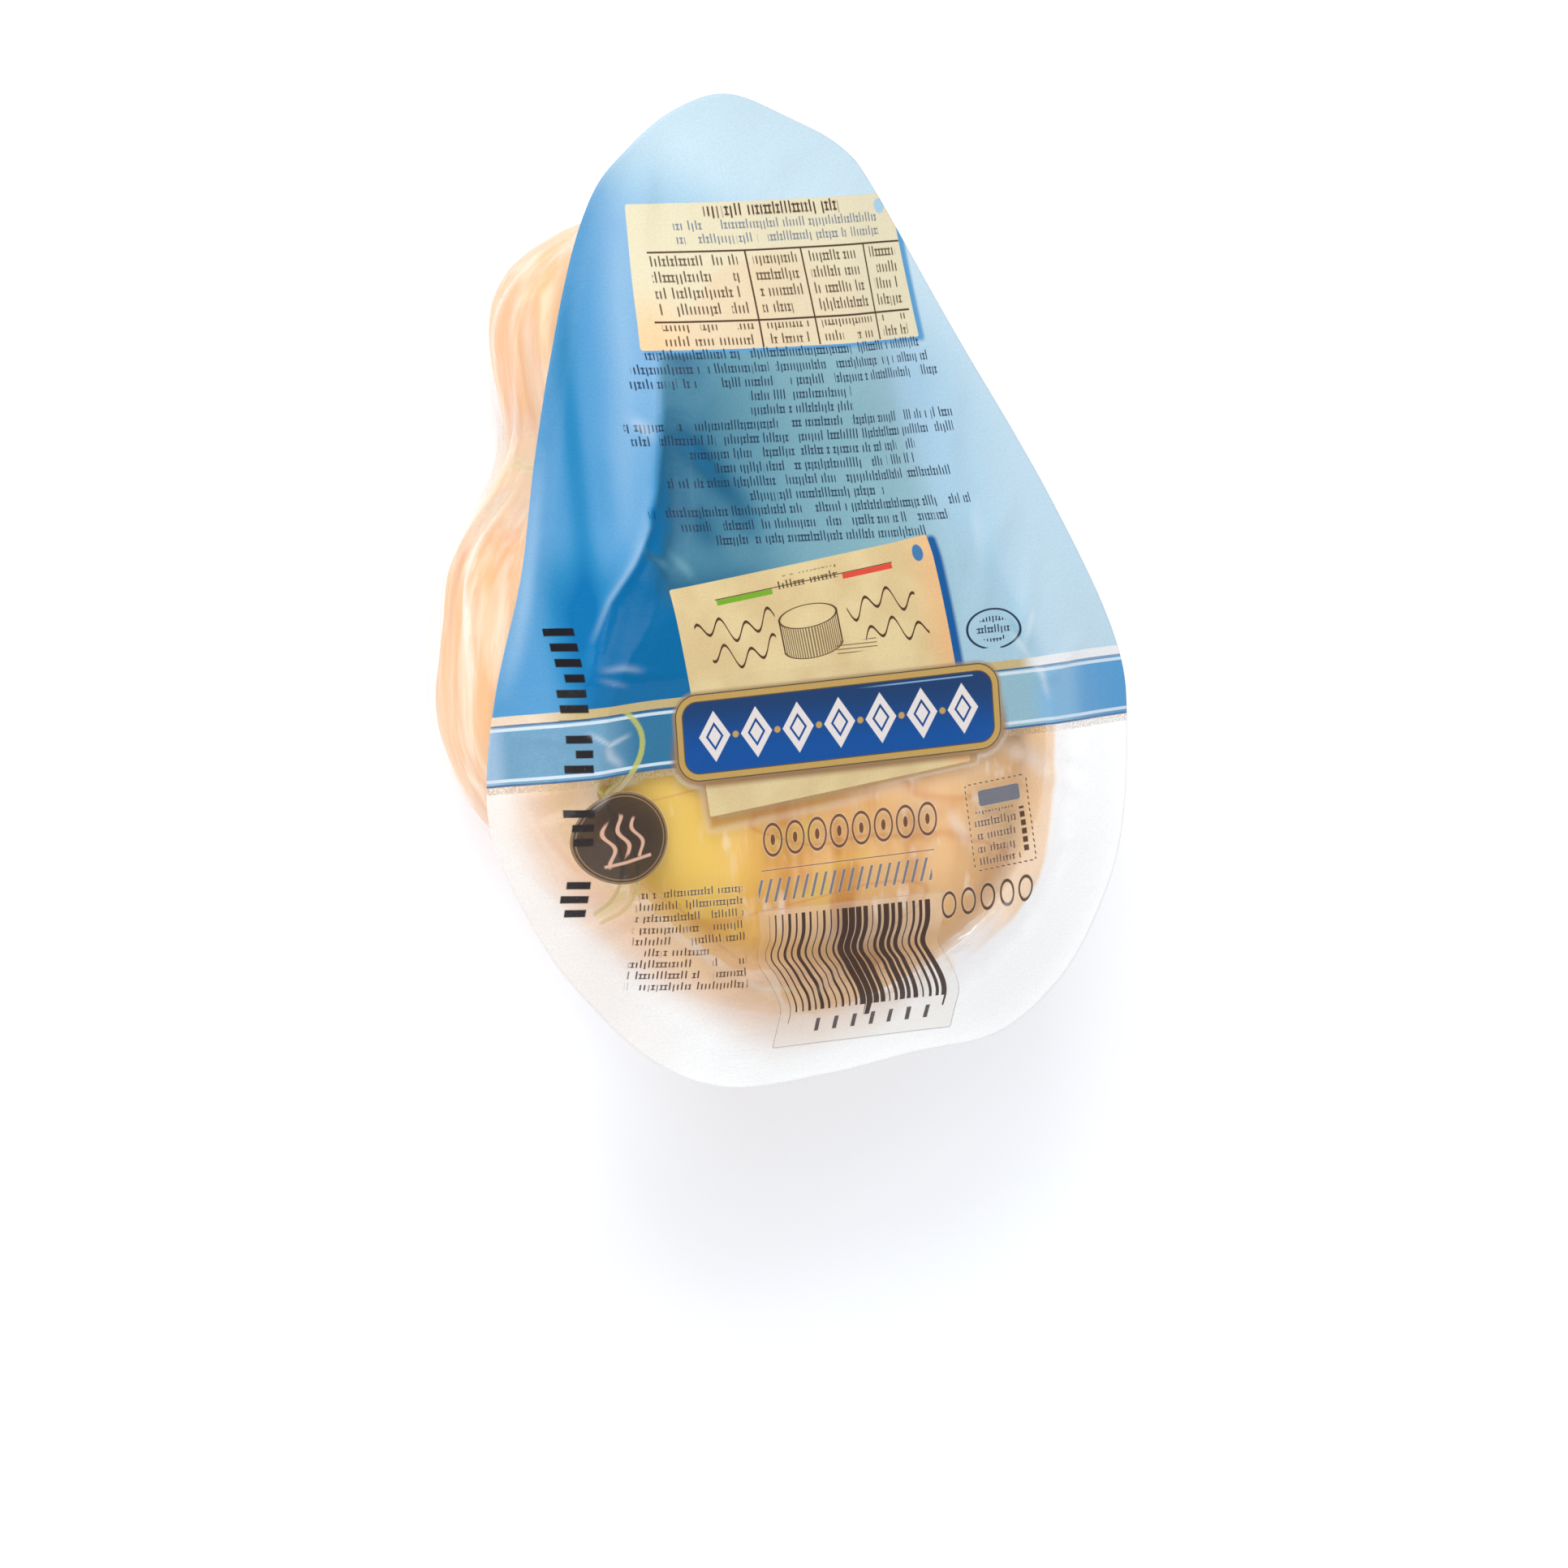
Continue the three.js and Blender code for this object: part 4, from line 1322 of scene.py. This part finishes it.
# Small print to the left of the bars, a chain of rings and a dashed coupon to the right
COUPON_CENTRE = (21.6, -13.1)
COUPON_TURN = 5
left_print = lower.strokes(x, y + 0.02 * x, 1.55, 0.46, 3.0, 0.3)
left_print = left_print * abs(x + 21.3).rise(7.4, 6.8) * within(y, -31.0, -17.0, 0.1)
lower.lay(left_print, INK_BROWN, 0.95)
ring_chain = oval_share(repeated(x - 12.6, 2.7), y + 22.6 - (x - 18) * 0.1, 1.0, 1.7)
lower.lay(within(ring_chain, 0.78, 1.05, 0.06) * within(x, 12.7, 26.1), INK_BROWN, 0.95)
coupon_x, coupon_y = lower.turned(COUPON_CENTRE, COUPON_TURN)
coupon_edge = round_distance(coupon_x, coupon_y, 4.3, 5.6, 0.4)
dash = abs(repeated(coupon_x + coupon_y, 0.8)).rise(0.26, 0.16)
lower.lay(within(coupon_edge, -0.09, 0.09, 0.04) * dash, INK_BROWN, 0.95)
coupon_head = round_distance(coupon_x - 0.3, coupon_y - 3.6, 2.9, 1.05, 0.4)
lower.lay(coupon_head.rise(CRISP, -CRISP), STROKE_SLATE, 0.9)
coupon_lines = lower.strokes(coupon_x, coupon_y, 1.7, 0.46, 5, 0.2)
coupon_lines = coupon_lines * box_mask(coupon_x, coupon_y, -3.6, 2.2, -5.0, 2.0)
side_line = box_mask(coupon_x, coupon_y, 2.8, 3.5, -4.4, 1.6)
side_line = side_line * abs(repeated(coupon_y, 1.1)).rise(0.42, 0.34)
lower.lay(coupon_lines.most(side_line), INK_BROWN, 0.95)
print_stamp(lower)

# How the inks and the film between them catch the light
SHINE = paint(236, 240, 244)


def fine_screen(film):
    """The colour with the inks' fine screen in it, and light caught along the sharpest folds."""
    return film.mix(film.shine, film.scaled(film.colour, 0.9 + film.screen * 0.2), SHINE)


def film_wrinkles(film):
    return film.bump(0.25, 0.0004, film.mottle(film.place, 1.6, 3.0))


upper.show_body({
    "Base Color": fine_screen(upper),
    "Roughness": 0.3 + upper.screen * 0.1,
    "Specular IOR Level": 0.09,
    "Normal": film_wrinkles(upper),
})
lower_look = {
    "Base Color": fine_screen(lower),
    "Roughness": 0.4 + lower.screen * 0.1,
    "Specular IOR Level": 0.05,
}
lower.show_film(
    lower.cover.most(lower.shine * 0.9),
    lower_look,
    film_wrinkles(lower),
    least_gloss=0.012,
    most_gloss=0.5,
    gloss_roughness=0.12,
)

# Soft strokes of painted shade and painted light in the blue, each as its path, its change of tone, and its
# widths east and west
SHADE_AND_LIGHT_STROKES = [
    ([(-25.6, 58), (-27.6, 48), (-28.9, 35), (-30.2, 25), (-31.8, 15)], -0.2, 1.2, 1.4),
    ([(-25.4, 38), (-26.2, 32), (-27.0, 26)], -0.06, 1.4, 1.4),
    ([(-18.2, 67), (-20.4, 56), (-21.6, 46), (-22.8, 39), (-24.8, 30), (-29.0, 21)], 0.13, 1.8, 2.2),
    ([(-32.6, 38), (-34.9, 30), (-37.0, 22), (-39.2, 15), (-41.6, 9)], 0.2, 1.0, 1.5),
    ([(-18.4, 42), (-20.6, 33), (-22.0, 28.4), (-24.6, 24), (-28.2, 19), (-30.8, 14.4)], -0.24, 3.2, 0.6),
    ([(-20.9, 33), (-22.5, 28.9), (-25.1, 24.8), (-28.8, 19.8), (-31.3, 15), (-32.4, 11)], 0.15, 0.3, 0.8),
    ([(-24.0, 26.3), (-20.7, 23.3)], 0.13, 0.6, 0.6),
    ([(-20.2, 25.2), (-17.8, 21.9)], 0.12, 0.7, 0.7),
    ([(-21.4, 31.2), (-21.9, 29.4)], -0.22, 0.5, 0.5),
    ([(-22.4, 27.4), (-22.0, 25.2)], -0.14, 0.7, 0.7),
    ([(-8.5, 25.5), (-10.2, 31), (-14.0, 36.6), (-16.8, 41)], -0.16, 1.9, 1.9),
    ([(-15.8, 53), (-15.0, 49.6), (-13.8, 46)], -0.1, 2.0, 1.2),
    ([(-16.4, 31), (-14.4, 25)], -0.09, 1.6, 1.6),
    ([(23.4, 27), (20.9, 19), (18.9, 12)], 0.07, 1.0, 1.0),
    ([(28.6, 13.4), (26.4, 10.4), (25.4, 7.6)], 0.12, 0.5, 0.6),
    ([(24.6, 13.2), (26.2, 9.6)], -0.1, 0.5, 0.5),
]
# Sharp folds that catch the light, each as its path, how pale it is, and its widths to either side
SHINES = [
    ([(-22.4, 28.6), (-25.1, 24.7), (-28.8, 19.8), (-31.4, 15)], 0.2, 0.25, 0.3),
    ([(-31.2, 11.2), (-28.6, 11.5), (-26.2, 11.0)], 0.2, 0.5, 0.35),
    ([(-31.6, 10.2), (-28.4, 9.2)], 0.12, 0.4, 0.3),
    ([(-21.8, 42.0), (-20.6, 41.0), (-19.8, 39.6)], 0.28, 0.8, 0.6),
    ([(-33.6, 3.6), (-31.2, 1.9), (-28.4, 3.0)], 0.5, 0.3, 0.25),
    ([(-31.7, 1.9), (-31.2, 0.4), (-29.6, -1.0)], 0.4, 0.7, 0.5),
    ([(27.0, 7.4), (28.3, 5.6), (29.2, 2.4)], 0.4, 0.5, 0.4),
    ([(24.8, 11.0), (27.2, 7.4)], 0.3, 0.3, 0.5),
    ([(23.2, -3.6), (26.0, -5.0), (28.6, -7.4)], 0.5, 1.5, 1.2),
    ([(14.4, -10.6), (15.6, -13), (17.2, -15.6)], 0.3, 1.0, 0.8),
    ([(12.6, -30.0), (16.4, -28.6), (19.6, -26.4), (22.8, -22.6)], 0.5, 0.35, 0.3),
    ([(17.4, -29.2), (20.6, -26.8), (22.6, -24.6)], 0.4, 0.25, 0.3),
    ([(-15.0, -29.8), (-11.8, -31.4), (-7.8, -31.8)], 0.42, 0.3, 0.35),
    ([(-22.6, -21.6), (-21.0, -25.0), (-18.4, -27.6)], 0.3, 0.3, 0.4),
    ([(-33.4, -6.0), (-30.8, -3.4), (-27.0, -2.8)], 0.3, 0.4, 0.4),
]
CLING_TONE_PLACES = [-18, -14, -10, -6, -2, 6, 14, 18]
CLING_TONE_LEVELS = [0.26, 0.265, 0.335, 0.40, 0.463, 0.525, 0.58, 0.65]


def blue_tone(x, y, cling):
    """How pale the blue is, from 0 to 1: deep at the lower left, pale on the right and at the top."""
    left = 0.345 + 0.2 * ease((x + 25) / 10)
    tone = left + (0.66 + 0.105 * ease((x - 16) / 18) - left) * ease((x + 14) / 26)
    tone += (0.8 - tone) * ease((y + 0.6 * x - 54) / 18)
    deep = ease((29 - y) / 12) * ease((x + 37.5) / 5) * ease((4 - x) / 16)
    tone += (0.03 - tone) * deep
    clinging = np.interp(x, CLING_TONE_PLACES, CLING_TONE_LEVELS) + 0.0035 * np.maximum(0, y - 38)
    tone += (clinging - tone) * cling * (1 - deep)
    # Painted shade and painted light along the folds
    for path, change, east, west in SHADE_AND_LIGHT_STROKES:
        tone = tone + fold(x, y, path, change, east, west)
    return np.clip(tone, 0, 1)


front_bearings = bearings_round(FRONT_BEARINGS)
ring_shares = np.arange(1, FRONT_RINGS + 1) / FRONT_RINGS
front_reach = ring_shares[:, None] * rim_distance(front_bearings, FILM_CENTRE)
front_x, front_y = round_centre(FILM_CENTRE, front_reach, front_bearings)
front_x = np.concatenate([[FILM_CENTRE[0]], front_x.ravel()])
front_y = np.concatenate([[FILM_CENTRE[1]], front_y.ravel()])
front_z = film_surface(front_x, front_y) - FRONT_DROP
front_points = np.column_stack([front_x, front_y, front_z])
lip = front_points[-FRONT_BEARINGS:] - (0, 0, LIP_DEPTH)
front_points = np.vstack([front_points, lip])
front_faces = (grid_faces(FRONT_RINGS + 1, FRONT_BEARINGS) + 1).tolist()
front_faces += fan_faces(0, 1 + np.arange(FRONT_BEARINGS), False).tolist()
front_film = new_piece("printed_film", front_points, front_faces, upper)
front_film.data.materials.append(lower.material)
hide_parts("front_film")

# How far each point is inside the touching patch, how closely it clings there and how blue it is
px, py = front_points[:, 0], front_points[:, 1]
touching = inside_contact(px, py)
cling_values = ease((touching + 0.5 + 1.6 * ease((px - 6) / 10)) / (1.2 + 4.5 * ease((px - 4) / 12)))
tone_values = blue_tone(px, py, cling_values)

# The clear part is milky away from the cheese. Beside the cheese it has painted light: it glows with the
# cheese's colour, and is milkier there at the left and at the right rim
milk_values = 0.015 + 0.865 * ease((-touching - 0.5) / (8.5 - 4.5 * ease((px - 5) / 20)))
glow_reach = 8.5 - 7.3 * ease((px - 4) / 14) + 4.5 * np.exp(-(((px + 9) / 11) ** 2)) * ease(-py / 20)
glow_values = ease((glow_reach + touching) / (0.75 * glow_reach)) * ease((6.4 - touching) / 3.4)
milk_values += 0.42 * glow_values * ease((3.4 - touching) / 3.4) * (1 - milk_values) * ease((4 - px) / 6)
milk_values += 0.7 * glow_values * ease((5.6 - touching) / 3.6) * (1 - milk_values) * ease((px - 15) / 8)

# The string shows faintly through the inks, and the print is shifted where the film folds at its foot
from_string, _, _ = distance_to_path(px, py, curve_through(LOOSE_LOOP, 4, False).tolist())
string_values = ease((0.66 - from_string) / 0.5)
bend = (3.4 * ease((-27.6 - py) / 8) - 0.9 * np.exp(-(((py + 27.2) / 1.8) ** 2))) * ease((px + 15) / 4)
print_places = np.column_stack([px - bend, py, np.zeros(len(px))])

shine_values = np.zeros(len(px))
for path, paleness, left, right in SHINES:
    shine_values = np.maximum(shine_values, fold(px, py, path, paleness, left, right))

film_values = {
    "shine": shine_values,
    "cling": cling_values,
    "tone": tone_values,
    "milk": milk_values,
    "glow": glow_values,
    "on_string": string_values,
}
for name, values in film_values.items():
    keep_on(front_film, name, values)
attribute = front_film.data.attributes.new("print_place", "FLOAT_VECTOR", "POINT")
attribute.data.foreach_set("vector", print_places.astype(np.float32).ravel())

# The film has the opaque blue finish down to a little above the blue's end, and the clear one below that
face_ys = [py[face].mean() for face in front_faces]
front_film.data.polygons.foreach_set("material_index", [int(y < OPAQUE_FROM_Y) for y in face_ys])


# Studio
# A pale sheet under the pack that fades into an even white room, a broad lamp from the pointed end and a
# smaller one from the left, which puts soft streaks of light on the films.
ROOM_WHITE = (0.96, 0.98, 1.0, 1.0)
ROOM_STRENGTH = 0.92
FLOOR_SIDE = 6.0
FLOOR_WHITE = (0.97, 0.975, 0.985, 1.0)
FLOOR_GREY = (0.94, 0.95, 0.97, 1.0)
# Painted light: the sheet glows a little round the pack and more at its left, which lifts its shade there,
# and far away it meets the room
FLOOR_COOL_GLOW = (0.012, 0.026, 0.055, 1.0)
FLOOR_LEFT_GLOW = (0.2, 0.27, 0.35, 1.0)
FLOOR_FAR = (0.026, 0.024, 0.016, 1.0)

floor_finish = Finish("white sheet")
floor_place = floor_finish.node("TexCoord", {}, {}, 3)
floor_grain = floor_finish.mottle(floor_place, 0.4, 2.0)
floor_x, floor_y, _ = floor_place.parts()
left_of_pack = floor_x.rise(0.012, -0.026) * floor_y.rise(-0.095, -0.06)
far_away = abs(floor_x).most(abs(floor_y)).rise(0.22, 0.8)
floor_glow = floor_finish.mix(left_of_pack, FLOOR_COOL_GLOW, FLOOR_LEFT_GLOW)
floor_finish.show_body({
    "Base Color": floor_finish.mix(floor_grain * 0.1, FLOOR_WHITE, FLOOR_GREY),
    "Roughness": 0.8,
    "Specular IOR Level": 0.1,
    "Emission Color": floor_finish.mix(far_away, floor_glow, FLOOR_FAR),
    "Emission Strength": 1.0,
})
half = FLOOR_SIDE / 2
corners = [(-half, -half, 0), (half, -half, 0), (half, half, 0), (-half, half, 0)]
floor_mesh = bpy.data.meshes.new("floor")
floor_mesh.from_pydata(corners, [], [(0, 1, 2, 3)])
floor_mesh.materials.append(floor_finish.material)
floor = bpy.data.objects.new("floor", floor_mesh)
floor.location.z = table_height
bpy.context.scene.collection.objects.link(floor)

world = bpy.data.worlds.new("white room")
world.use_nodes = True
room = world.node_tree.nodes["Background"]
room.inputs["Color"].default_value = ROOM_WHITE
room.inputs["Strength"].default_value = ROOM_STRENGTH
bpy.context.scene.world = world


def soft_lamp(name, place, size, power, colour):
    """A square lamp that faces the pack."""
    lamp_data = bpy.data.lights.new(name, "AREA")
    lamp_data.size = size
    lamp_data.energy = power
    lamp_data.color = colour
    lamp = bpy.data.objects.new(name, lamp_data)
    lamp.location = place
    lamp.rotation_mode = "QUATERNION"
    lamp.rotation_quaternion = Vector(place).to_track_quat("Z", "Y")
    bpy.context.scene.collection.objects.link(lamp)


soft_lamp("top_lamp", place=(-0.30, 0.74, 0.87), size=0.55, power=6.3, colour=(1.0, 0.985, 0.96))
soft_lamp("left_lamp", place=(-1.0, 0.05, 0.22), size=0.4, power=1.4, colour=(1.0, 0.99, 0.97))

picture = bpy.context.scene.view_settings
picture.view_transform = "Standard"
picture.look = "None"
